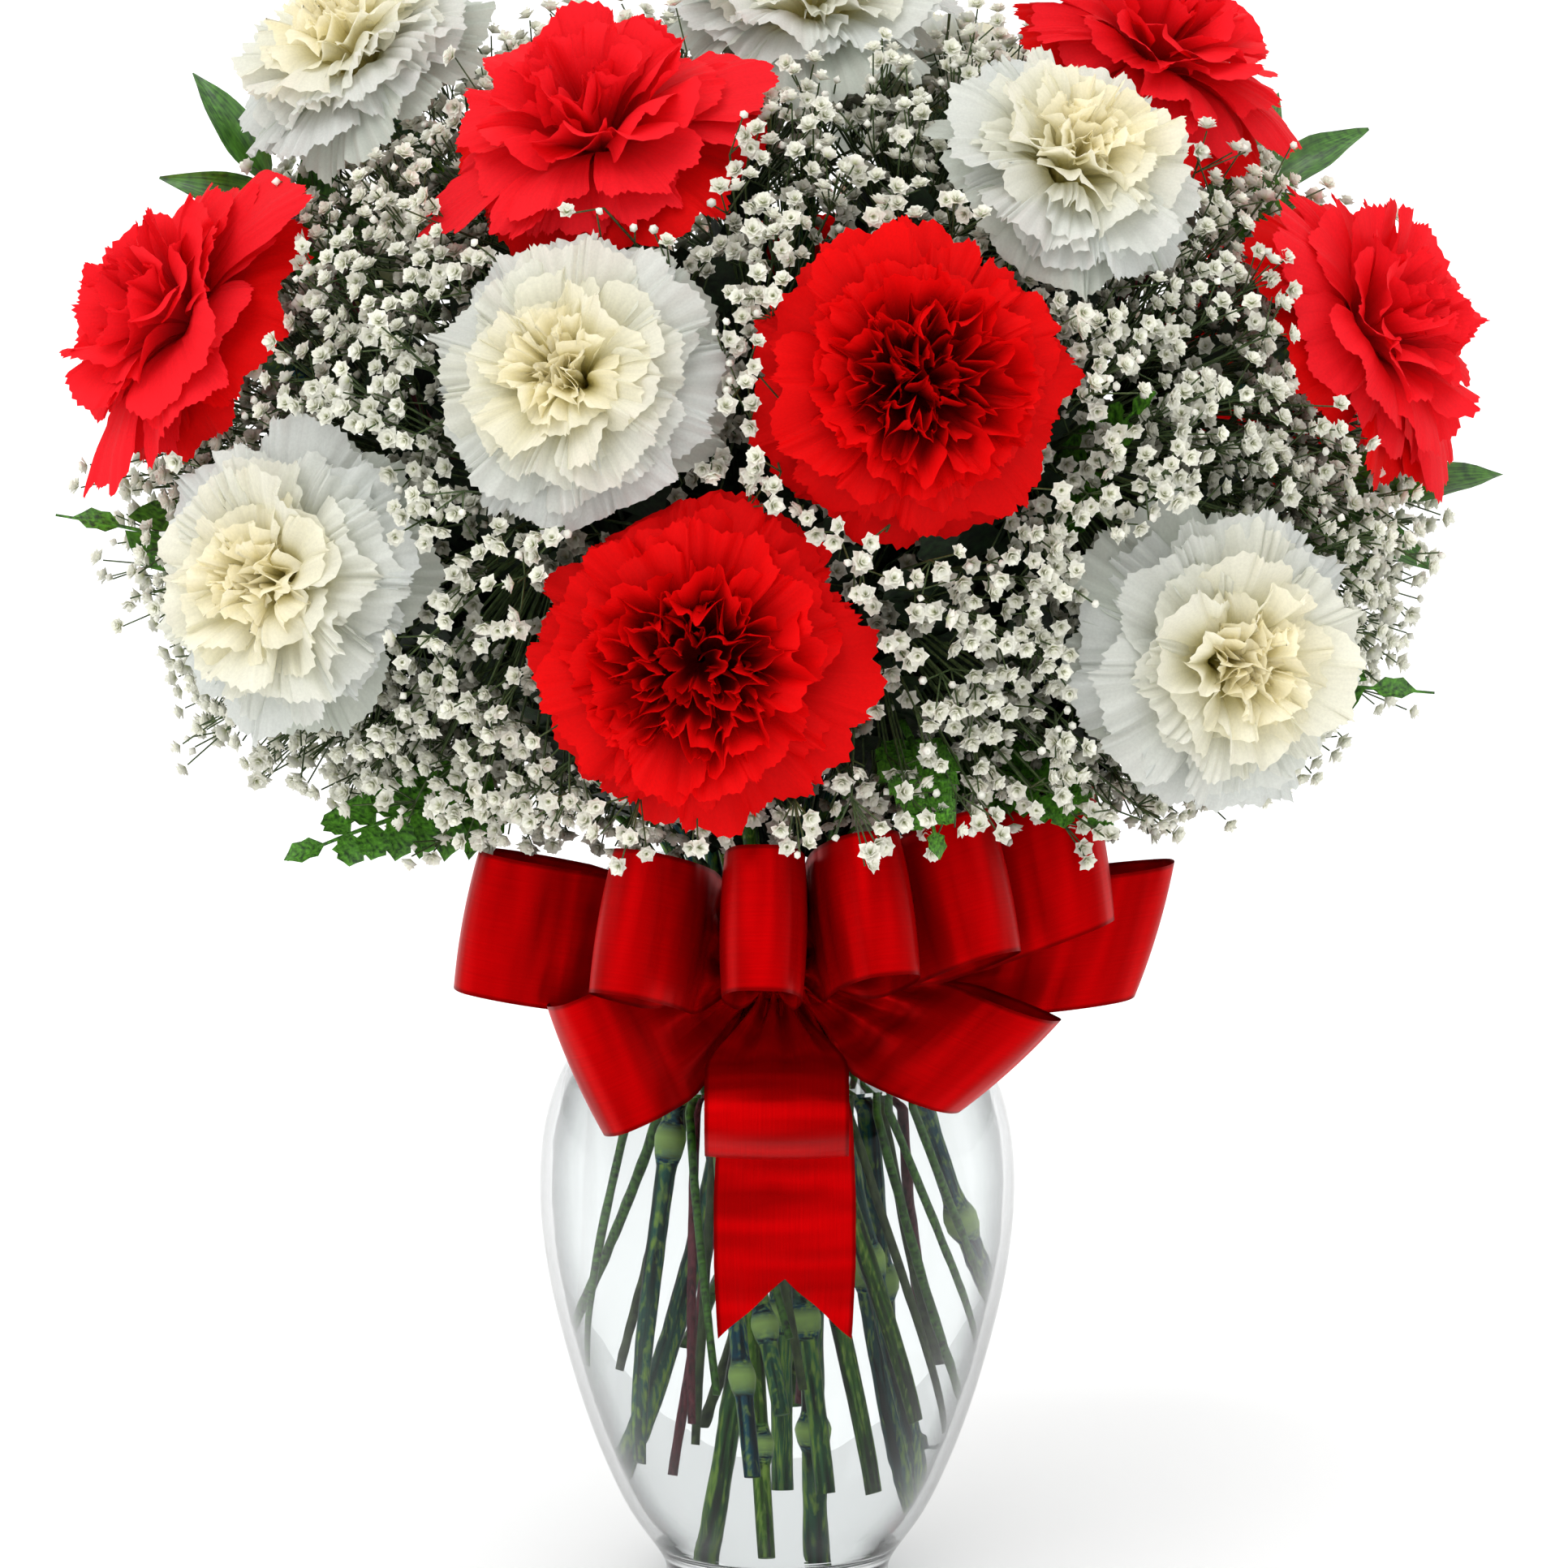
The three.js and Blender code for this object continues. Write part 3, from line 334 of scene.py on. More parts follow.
def tube(form, path, radii, sides, tone=0.0, finish=0, caps=True):
    """Round bar along a path, with one radius or its own radius at each point."""
    path = np.asarray(path, float)
    radii = np.broadcast_to(np.asarray(radii, float), len(path))
    across, beside = directions_across(path)
    turn = np.linspace(0, 2 * math.pi, sides, endpoint=False)
    ring = (np.cos(turn)[None, :, None] * across[:, None] + np.sin(turn)[None, :, None]
            * beside[:, None])
    points = path[:, None] + ring * radii[:, None, None]
    lay = lay_grid(points, turn / (2 * math.pi), distances(path)[:, None],
                   np.broadcast_to(tone, len(path))[:, None])
    faces = grid_faces(len(path), sides, wrap=True).tolist()
    if caps:
        faces.append(list(range(sides))[::-1])
        faces.append([(len(path) - 1) * sides + j for j in range(sides)])
    form.add(points, faces, lay, finish)


def lathe(form, profile, segments):
    """Turned form round the vase's axis from (radius, height) pairs that end on the axis."""
    profile = np.asarray(profile, float)
    turn = np.linspace(0, 2 * math.pi, segments, endpoint=False)
    body = profile[1:-1]
    points = np.stack([
        body[:, :1] * np.cos(turn), body[:, :1] * np.sin(turn),
        np.broadcast_to(body[:, 1:], (len(body), segments)),
    ], -1).reshape(-1, 3)
    low, high = len(points), len(points) + 1
    points = np.vstack([points, (0, 0, profile[0, 1]), (0, 0, profile[-1, 1])])
    faces = grid_faces(len(body), segments, wrap=True).tolist()
    last = (len(body) - 1) * segments
    for j in range(segments):
        k = (j + 1) % segments
        faces.append([low, k, j])
        faces.append([high, last + j, last + k])
    form.add(points, faces)


# Layout: the same routes as the solids have.

def vase_line(inset, samples):
    """Wall of the vase: the outer line, or a line set inward from it, from foot to lip."""
    line = smooth_line(VASE_OUTLINE, samples + 1)
    fine = smooth_line(VASE_OUTLINE, 20 * samples + 1)
    along = tangents(fine)[::20]
    moved = line + inset * np.stack([-along[:, 1], along[:, 0]], -1)
    moved[-1, 1] = line[-1, 1]
    return moved


def radius_at(line, height):
    return float(np.interp(height, line[:, 1], line[:, 0]))


def floor_corner(line, floor, turns):
    """Rounded corner between a wall and a level floor, at angles below the wall's end."""
    low = radius_at(line, floor + FLOOR_CURVE)
    return [(low - FLOOR_CURVE * (1 - math.cos(a)),
             floor + FLOOR_CURVE - FLOOR_CURVE * math.sin(a)) for a in turns]


def dome_point(way, share):
    return way * DOME_HALF * share + np.array([0, 0, DOME_HEIGHT])


def spiral(count, lowest):
    """Even spiral of directions over the dome, from its top down to the lowest level."""
    i = np.arange(count)
    level = 1 - (2 * i + 1) / count
    flat = np.sqrt(1 - level ** 2)
    turn = i * math.pi * (3 - math.sqrt(5))
    ways = np.stack([flat * np.cos(turn), flat * np.sin(turn), level], -1)
    return ways[level > lowest]


def gap_ways():
    """Directions that fall between the flower heads."""
    return [way for way in spiral(GAP_POINTS, -0.5)
            if all(np.linalg.norm(dome_point(way, 1) - at) > 0.4 * width
                   for _, at, _, width in HEADS)]


def spray_hubs(ways):
    hubs = []
    for way in ways:
        place = dome_point(way, HUB_SHARE)
        if all(np.linalg.norm(place - other) > HUB_SPACING for other in hubs):
            hubs.append(place)
    hubs.sort(key=lambda p: math.atan2(p[1], p[0]))
    return [[h for k, h in enumerate(hubs) if k * SPRAY_COUNT // len(hubs) == g]
            for g in range(SPRAY_COUNT)]


def fork_of(hubs):
    middle = np.mean(hubs, axis=0) * 0.5
    middle[2] = FORK_HEIGHT
    return middle


def neck_spots(targets):
    """Where each stem passes the neck, toward its target and pushed apart to the spacing."""
    spots = []
    for x, y, z in targets:
        level = math.hypot(x, y)
        reach = NECK_REACH * math.cos(math.atan2(z - NECK_HEIGHT, level)) ** 1.3
        spots.append([x / level * reach, y / level * reach])
    for _ in range(400):
        for i, a in enumerate(spots):
            for b in spots[:i]:
                dx, dy = a[0] - b[0], a[1] - b[1]
                gap = math.hypot(dx, dy)
                short = NECK_SPACING - gap
                if short > 0:
                    push = short * 0.3 / gap
                    a[0] += dx * push
                    a[1] += dy * push
                    b[0] -= dx * push
                    b[1] -= dy * push
        for s in spots:
            far = math.hypot(*s)
            if far > NECK_REACH:
                s[0] *= NECK_REACH / far
                s[1] *= NECK_REACH / far
    return [np.array([*s, NECK_HEIGHT]) for s in spots]


WALL = vase_line(GLASS_WALL, COARSE_SAMPLES)


def stem_foot(spot, cut):
    """Cut end of a stem, as low as the wall of the vase leaves room for it."""
    c, s = math.cos(STEM_TURN), math.sin(STEM_TURN)
    x, y, _ = spot
    foot = np.array([c * x - s * y, s * x + c * y, 0]) * STEM_FOOT_SPREAD
    foot[2] = STEM_FOOT_HEIGHT
    height = cut
    while True:
        share = (height - STEM_FOOT_HEIGHT) / (NECK_HEIGHT - STEM_FOOT_HEIGHT)
        at = foot + (spot - foot) * share
        if math.hypot(at[0], at[1]) <= radius_at(WALL, height) - STEM_WALL_ROOM:
            return at
        height += 1


def cut_height(i):
    return LOWEST_CUT + (i * CUT_STEP) % CUT_RANGE


GAPS = gap_ways()
HUBS = spray_hubs(GAPS)
SPOTS = neck_spots(
    [np.array(at, float) - direction(*faces) * (ROOT_DEPTH + CALYX_LENGTH)
     for _, at, faces, _ in HEADS]
    + [np.array(start, float) for start, _, _ in FRONDS]
    + [np.array(start, float) for start, _ in SPRIGS]
    + [fork_of(hubs) for hubs in HUBS]
)


def slim_path(spot, cut, place, along):
    """Slim stem from its cut end, through the neck, to a place in the bouquet."""
    foot = stem_foot(spot, cut)
    rise = np.array([spot[0] * 0.3, spot[1] * 0.3, 30])
    arrive = along * -0.36 * np.linalg.norm(place - spot)
    bend = cubic(spot, spot + rise, place + arrive, place, np.linspace(0, 1, 10))
    return np.vstack([foot, (foot + spot) / 2, bend])


def slim_stem(form, number, shorter, place, along, beyond=(), finish=0):
    """Slim stem with its cut end in the water, to a place and on through points beyond it."""
    path = slim_path(SPOTS[number], cut_height(number) + shorter, place, along)
    tube(form, np.vstack([path, *beyond]), SLIM_RADIUS, 8, finish=finish)


def leaf_frame(start, tip):
    along = unit(np.subtract(tip, start))
    guide = np.array([0, 1.0 if start[1] > 40 else -1.0, 0.6])
    side = unit(np.cross(guide, along))
    return along, side, np.cross(along, side)


# Materials.

def add_node(tree, kind, inputs=None, **settings):
    """Adds a shader node with its settings, and sets or links its inputs.

    A node given as an input stands for its first output, or a Mix node for its colour."""
    node = tree.nodes.new(f"ShaderNode{kind}")
    for name, value in settings.items():
        setattr(node, name, value)
    for name, value in (inputs or {}).items():
        socket = node.inputs[name]
        if isinstance(value, bpy.types.Node):
            value = value.outputs[2 if value.bl_idname == "ShaderNodeMix" else 0]
        if isinstance(value, bpy.types.NodeSocket):
            tree.links.new(value, socket)
        else:
            socket.default_value = value
    return node


def new_material(name):
    material = bpy.data.materials.new(name)
    material.use_nodes = True
    tree = material.node_tree
    tree.nodes.clear()
    return material, tree


def lay_of(tree):
    """Where a point lies on its piece: across, along, and its tier or share."""
    return add_node(tree, "Attribute", attribute_name="lay").outputs["Vector"]


def scale_of(size_mm):
    """Texture scale, per metre of object space, for a pattern of that size in millimetres."""
    return 1000.0 / size_mm


def thin_surface(tree, tone, thinness, inputs):
    """Surface of a body so thin that the share `thinness` of its light goes through it."""
    skin = add_node(tree, "BsdfPrincipled", {"Base Color": tone, **inputs})
    glow = add_node(tree, "BsdfTranslucent", {"Color": tone})
    both = add_node(tree, "MixShader", {0: thinness, 1: skin, 2: glow})
    add_node(tree, "OutputMaterial", {0: both})


def petal_material(name, back, outer, inner, deep, fall, rib_depth, thinness):
    """Living carnation petal, matt with fine ribs toward its toothed edge.

    The ribs are bumped, with painted shade in the furrows between them and a faint painted
    highlight on them, as fine streaks. Toward the root the colour turns to `deep`: for the reds a
    darker red, painted shade in the hollows between the petals, for the whites a warm cream of
    their own. A petal passes the share `thinness` of its light on to the other side, so that thin
    petals glow."""
    material, tree = new_material(name)
    lay = lay_of(tree)
    split = add_node(tree, "SeparateXYZ", {0: lay})
    # Ribs about 1.2 mm apart at the edge of a petal 50 mm wide.
    stretch = add_node(tree, "Mapping", {"Vector": lay, "Scale": (21.0, 1.1, 41.0)})
    ribs = add_node(tree, "TexNoise", {
        "Vector": stretch, "Scale": 1.0, "Detail": 3.0, "Roughness": 0.6})
    # Clouding of the colour over about 9 mm.
    cloud = add_node(tree, "TexNoise", {"Scale": scale_of(9.0), "Detail": 2.0})
    behind = add_node(tree, "MapRange", {
        "Value": split.outputs[2], "From Min": 0.03, "From Max": 0.09})
    rear = add_node(tree, "Mix", {0: behind, 6: back, 7: outer}, data_type="RGBA")
    centre = add_node(tree, "MapRange", {
        "Value": split.outputs[2], "From Min": 0.2, "From Max": 0.8})
    base = add_node(tree, "Mix", {0: centre, 6: rear, 7: inner}, data_type="RGBA")
    # The inner petals stand deeper in each other, so the colour at their roots, painted shade on
    # the red heads, reaches further up.
    height = add_node(tree, "Math", {
        0: split.outputs[2], 1: -0.18, 2: split.outputs[1]}, operation="MULTIPLY_ADD")
    root = add_node(tree, "MapRange", {
        "Value": height, "From Min": fall[0], "From Max": fall[1], "To Min": 1.0,
        "To Max": 0.0}, interpolation_type="SMOOTHSTEP")
    # Root colour: painted shade in the hollows on the red heads, a cream tone on the white ones.
    root_tone_and_shade = add_node(tree, "Mix", {0: root, 6: base, 7: deep}, data_type="RGBA")
    # Painted shade in the furrows between the ribs and a faint painted highlight on them, besides
    # the bump below.
    rib_shade_and_highlight = add_node(tree, "MapRange", {
        "Value": ribs, "From Min": 0.3, "From Max": 0.7, "To Min": 1 - 0.15 * rib_depth,
        "To Max": 1.03})
    cloud_tone = add_node(tree, "MapRange", {
        "Value": cloud, "From Min": 0.3, "From Max": 0.7, "To Min": 0.94, "To Max": 1.02})
    tone = add_node(tree, "Math", {0: rib_shade_and_highlight, 1: cloud_tone}, operation="MULTIPLY")
    toned = add_node(tree, "VectorMath", {0: root_tone_and_shade, "Scale": tone}, operation="SCALE")
    bump = add_node(tree, "Bump", {"Height": ribs, "Strength": rib_depth, "Distance": 0.0006})
    thin_surface(tree, toned, thinness, {
        "Roughness": 0.7, "IOR": 1.42, "Specular IOR Level": 0.12, "Normal": bump})
    return material


def plant_lines(tree, streak, grain_mm):
    """Fine lines along a plant's skin, the lines with its clouding, and the lines' relief."""
    stretch = add_node(tree, "Mapping", {"Vector": lay_of(tree), "Scale": streak})
    lines = add_node(tree, "TexNoise", {"Vector": stretch, "Scale": 1.0, "Detail": 2.0})
    cloud = add_node(tree, "TexNoise", {"Scale": scale_of(grain_mm), "Detail": 3.0})
    both = add_node(tree, "Math", {0: lines, 1: cloud}, operation="ADD")
    bump = add_node(tree, "Bump", {"Height": lines, "Strength": 0.35, "Distance": 0.0004})
    return lines, both, bump


def plant_material(name, base, pale, roughness, grain_mm, streak, coat=0.0):
    """Green plant skin with clouded colour and fine streaks along it."""
    material, tree = new_material(name)
    _, both, bump = plant_lines(tree, streak, grain_mm)
    spread = add_node(tree, "MapRange", {"Value": both, "From Min": 0.75, "From Max": 1.3})
    mix = add_node(tree, "Mix", {0: spread, 6: base, 7: pale}, data_type="RGBA")
    skin = add_node(tree, "BsdfPrincipled", {
        "Base Color": mix, "Roughness": roughness, "IOR": 1.45, "Coat Weight": coat,
        "Coat Roughness": 0.25, "Normal": bump})
    add_node(tree, "OutputMaterial", {0: skin})
    return material


def stem_material():
    """Living carnation stem under a wax bloom: dull, olive to blue-green from stem to stem.

    The furrows between its fine ridges get painted shade and the ridges a painted highlight; the
    pale green on the ridges is partly the wax's own colour and partly a painted highlight, and the
    swollen nodes are paler still."""
    material, tree = new_material("Carnation stem, waxy")
    tone = add_node(tree, "SeparateXYZ", {0: lay_of(tree)}).outputs[2]
    hue = add_node(tree, "MapRange", {"Value": tone})
    base = add_node(tree, "Mix", {
        0: hue, 6: colour("#3c6a0e"), 7: colour("#124c62")}, data_type="RGBA")
    # Ridges about 1.6 mm apart round a stem 4 mm thick, and clouding over 14 mm.
    lines, both, bump = plant_lines(tree, (8.0, 0.03, 5.0), 14.0)
    # Pale green on the ridges: partly the wax bloom's own colour, partly a painted highlight.
    bloom = add_node(tree, "MapRange", {
        "Value": both, "From Min": 1.0, "From Max": 1.28, "To Max": 0.85})
    # Painted shade in the furrows and painted highlight on the ridges, from the same lines that
    # give the bump.
    ridge_shade_and_highlight = add_node(tree, "MapRange", {
        "Value": lines, "From Min": 0.35, "From Max": 0.6, "To Min": 0.15, "To Max": 1.5})
    ridge_shaded = add_node(tree, "VectorMath", {0: base, "Scale": ridge_shade_and_highlight}, operation="SCALE")
    wax_and_highlight = add_node(tree, "Mix", {0: bloom, 6: ridge_shaded, 7: colour("#9cc44c")}, data_type="RGBA")
    node = add_node(tree, "MapRange", {"Value": tone, "From Min": 1.1, "From Max": 2.0})
    noded = add_node(tree, "Mix", {0: node, 6: wax_and_highlight, 7: colour("#b6dc7c")}, data_type="RGBA")
    skin = add_node(tree, "BsdfPrincipled", {
        "Base Color": noded, "Roughness": 0.4, "IOR": 1.45, "Specular IOR Level": 0.12,
        "Normal": bump})
    add_node(tree, "OutputMaterial", {0: skin})
    return material


def floret_material():
    """Baby's breath floret, thin matt white petals that turn green at the heart.

    Each floret reads as a small soft star with a shaded middle."""
    material, tree = new_material("Baby's breath floret, matt white")
    lay = lay_of(tree)
    split = add_node(tree, "SeparateXYZ", {0: lay})
    ramp = add_node(tree, "MapRange", {
        "Value": split.outputs[1], "From Min": 0.0, "From Max": 0.55})
    heart = add_node(tree, "Mix", {
        0: ramp, 6: colour("#aab274"), 7: colour("#fbfbf0")}, data_type="RGBA")
    # Florets deeper in the bouquet turn dull olive-grey: painted shade, with the olive tint of
    # older florets.
    depth_shade_and_age = add_node(tree, "MapRange", {"Value": split.outputs[2], "To Min": 0.75, "To Max": 0.0})
    toned = add_node(tree, "Mix", {0: depth_shade_and_age, 6: heart, 7: colour("#5a5a36")}, data_type="RGBA")
    # Clouding from floret to floret over about 12 mm.
    cloud = add_node(tree, "TexNoise", {"Scale": scale_of(12.0), "Detail": 2.0})
    cloud_tone = add_node(tree, "MapRange", {
        "Value": cloud, "From Min": 0.35, "From Max": 0.6, "To Min": 0.82, "To Max": 1.0})
    toned = add_node(tree, "VectorMath", {0: toned, "Scale": cloud_tone}, operation="SCALE")
    thin_surface(tree, toned, 0.15, {"Roughness": 0.75, "Specular IOR Level": 0.2})
    return material


def satin_material(red, width_mm):
    """Polyester satin ribbon, woven with long floats and a firm selvedge.

    The floats give broad bright bands across each curve and deep red in the folds, partly from
    their reflections and partly painted highlight and painted shade along soft creases. They
    mirror in the red of their dye, as a metal does in its own colour, which is why the shader is
    partly metallic. The selvedge shows as a thin darker line along both edges."""
    material, tree = new_material("Red satin ribbon, woven")
    lay = lay_of(tree)
    split = add_node(tree, "SeparateXYZ", {0: lay})
    # Threads are 0.1 mm apart, drawn five times as coarse so that they show.
    stretch = add_node(tree, "Mapping", {"Vector": lay, "Scale": (width_mm, 0.05, 1.0)})
    threads = add_node(tree, "TexNoise", {
        "Vector": stretch, "Scale": 1.0, "Detail": 3.0, "Roughness": 0.7})
    # Soft creases 7 mm apart that run across the ribbon where it bends, bumped and with painted
    # highlight and painted shade in the colour along them.
    crease_place = add_node(tree, "Mapping", {"Vector": lay, "Scale": (0.35, 0.14, 1.0)})
    creases = add_node(tree, "TexNoise", {"Vector": crease_place, "Scale": 1.0, "Detail": 1.0})
    crease_light_and_shade = add_node(tree, "MapRange", {
        "Value": creases, "From Min": 0.32, "From Max": 0.68, "To Min": 0.66, "To Max": 1.2})
    thread_tone = add_node(tree, "MapRange", {
        "Value": threads, "From Min": 0.3, "From Max": 0.7, "To Min": 0.88, "To Max": 1.08})
    tone = add_node(tree, "Math", {0: thread_tone, 1: crease_light_and_shade}, operation="MULTIPLY")
    edge = add_node(tree, "Math", {0: split.outputs[0]}, operation="ABSOLUTE")
    hem = add_node(tree, "MapRange", {
        "Value": edge, "From Min": 0.93, "From Max": 0.97, "To Min": 1.0, "To Max": 0.45})
    both = add_node(tree, "Math", {0: tone, 1: hem}, operation="MULTIPLY")
    toned = add_node(tree, "VectorMath", {0: red[:3], "Scale": both}, operation="SCALE")
    bump = add_node(tree, "Bump", {"Height": threads, "Strength": 0.1, "Distance": 0.0003})
    folded = add_node(tree, "Bump", {
        "Height": creases, "Strength": 0.7, "Distance": 0.0015, "Normal": bump})
    skin = add_node(tree, "BsdfPrincipled", {
        "Base Color": toned, "Roughness": 0.36, "IOR": 1.5, "Metallic": 0.4,
        "Specular IOR Level": 0.3, "Specular Tint": colour("#ff2820"), "Normal": folded})
    add_node(tree, "OutputMaterial", {0: skin})
    return material


def clear_material(name, tint, outline_shade, ior, shine):
    """Clear body that bends what is seen through it, and lets lamps through to the stems.

    Seen edge on, its colour turns to the second colour: a painted dark outline, darker than its
    longer path through the glass alone would make it. Its reflections are dimmed to the share
    `shine`, as a polariser dims them, so that the stems keep their colour."""
    material, tree = new_material(name)
    # Slow waviness of blown glass or still water, about 50 mm across.
    waves = add_node(tree, "TexNoise", {"Scale": scale_of(50.0), "Detail": 0.0})
    bump = add_node(tree, "Bump", {"Height": waves, "Strength": 0.1, "Distance": 0.0002})
    # Painted dark outline: the colour turns toward the outline colour where the surface is seen
    # edge on.
    slant = add_node(tree, "LayerWeight", {"Blend": 0.5})
    edge = add_node(tree, "MapRange", {
        "Value": slant.outputs["Facing"], "From Min": 0.5, "From Max": 0.95})
    thick = add_node(tree, "Mix", {0: edge, 6: tint, 7: outline_shade}, data_type="RGBA")
    clear = add_node(tree, "BsdfPrincipled", {
        "Base Color": thick, "Roughness": 0.0, "IOR": ior,
        "Specular Tint": (shine, shine, shine, 1.0), "Transmission Weight": 1.0, "Normal": bump})
    lamp = add_node(tree, "BsdfTransparent", {"Color": tint})
    path = add_node(tree, "LightPath")
    both = add_node(tree, "MixShader", {0: path.outputs["Is Shadow Ray"], 1: clear, 2: lamp})
    add_node(tree, "OutputMaterial", {0: both})
    return material


# Flower heads.

# Tiers of a head from the outermost in: count, edge radius as a share of half the width, edge
# height, control radius share and height, half angle, ruffle depth and waves. Heights in mm.
FULL_TIERS = [
    (6, 1.00, -10.0, 0.45, 3.0, 38, 2.6, 1.1),
    (6, 0.98, -4.0, 0.42, 5.0, 38, 2.8, 1.2),
    (6, 0.92, 2.0, 0.36, 7.0, 38, 3.0, 1.3),
    (6, 0.82, 8.0, 0.30, 8.0, 38, 3.2, 1.4),
    (6, 0.70, 12.0, 0.24, 10.0, 40, 2.9, 1.3),
    (6, 0.55, 14.5, 0.19, 12.0, 42, 3.0, 1.5),
    (5, 0.39, 16.0, 0.14, 13.5, 48, 3.2, 1.8),
    (5, 0.26, 16.5, 0.11, 13.0, 52, 3.2, 1.9),
    (4, 0.14, 15.5, 0.07, 11.0, 72, 2.8, 1.8),
]
# Deep red heads stand their inner petals steeply round a sunken middle.
DEEP_TIERS = [
    (6, 1.00, -9.0, 0.46, 3.0, 38, 2.2, 1.2),
    (6, 0.97, -3.0, 0.42, 5.0, 38, 2.4, 1.3),
    (6, 0.90, 3.0, 0.38, 6.0, 38, 2.6, 1.4),
    (6, 0.79, 9.0, 0.34, 6.0, 38, 2.9, 1.5),
    (6, 0.65, 13.0, 0.36, 4.0, 38, 3.2, 1.8),
    (6, 0.51, 14.0, 0.42, 2.0, 40, 3.6, 2.3),
    (6, 0.38, 13.5, 0.34, 0.0, 42, 3.6, 2.2),
    (5, 0.26, 13.0, 0.24, -2.0, 48, 3.2, 1.9),
    (4, 0.14, 12.0, 0.12, -3.0, 62, 2.6, 1.5),
]
# Scarlet heads are opened wide, with fewer and smoother petals.
OPEN_TIERS = [
    (6, 1.00, -12.0, 0.45, 2.0, 38, 2.2, 1.1),
    (7, 0.93, -5.0, 0.42, 5.0, 30, 1.9, 0.9),
    (6, 0.88, 4.0, 0.38, 7.0, 34, 2.1, 1.0),
    (6, 0.76, 11.0, 0.32, 8.0, 34, 2.5, 1.1),
    (5, 0.58, 16.0, 0.26, 8.0, 40, 2.8, 1.2),
    (5, 0.38, 18.5, 0.18, 8.0, 44, 3.2, 1.4),
    (4, 0.20, 19.0, 0.10, 8.0, 56, 3.0, 1.6),
]
# Longest outer petals of the scarlet heads: turn in the head's plane, reach, half angle.
LONG_PETALS = {
    "red_1": ((83, 1.24, 20), (113, 1.06, 10), (-125, 1.24, 30)),
    "red_2": ((43, 1.18, 17), (73, 1.04, 10), (-155, 1.13, 24)),
    "red_5": ((-43, 1.14, 17), (-13, 1.02, 10), (125, 1.15, 24)),
    "red_6": ((-40, 1.14, 17), (-68, 1.04, 10), (117, 1.16, 24)),
    "red_7": ((60, 1.14, 17), (-120, 1.10, 24)),
}
# Edges: height of the flutes as a share of the ruffle's, how many a petal has (4 to 7 mm
# apart), and how frilled the edge is.
WHITE_EDGE = (0.46, 11, 0.7)
CRIMSON_EDGE = (0.36, 8, 1.2)
SCARLET_EDGE = (0.18, 8, 0.9)
LONG_TIER = (1, 1.0, -3.0, 0.42, 6.0, 20, 1.6, 0.8)
# Half width of the head that the heights and ruffles in the tables are given for.
TYPICAL_HALF = 40.0
OUTER_ROWS = np.array([0.0, 0.38, 0.66, 0.85, 0.96, 1.0])
INNER_ROWS = np.array([0.0, 0.3, 0.52, 0.68, 0.80, 0.90, 0.96, 1.0])
# How near heads press on each other, and over what depth their petals give way.
PRESS_REACH = 12
PRESS_SOFTNESS = 5


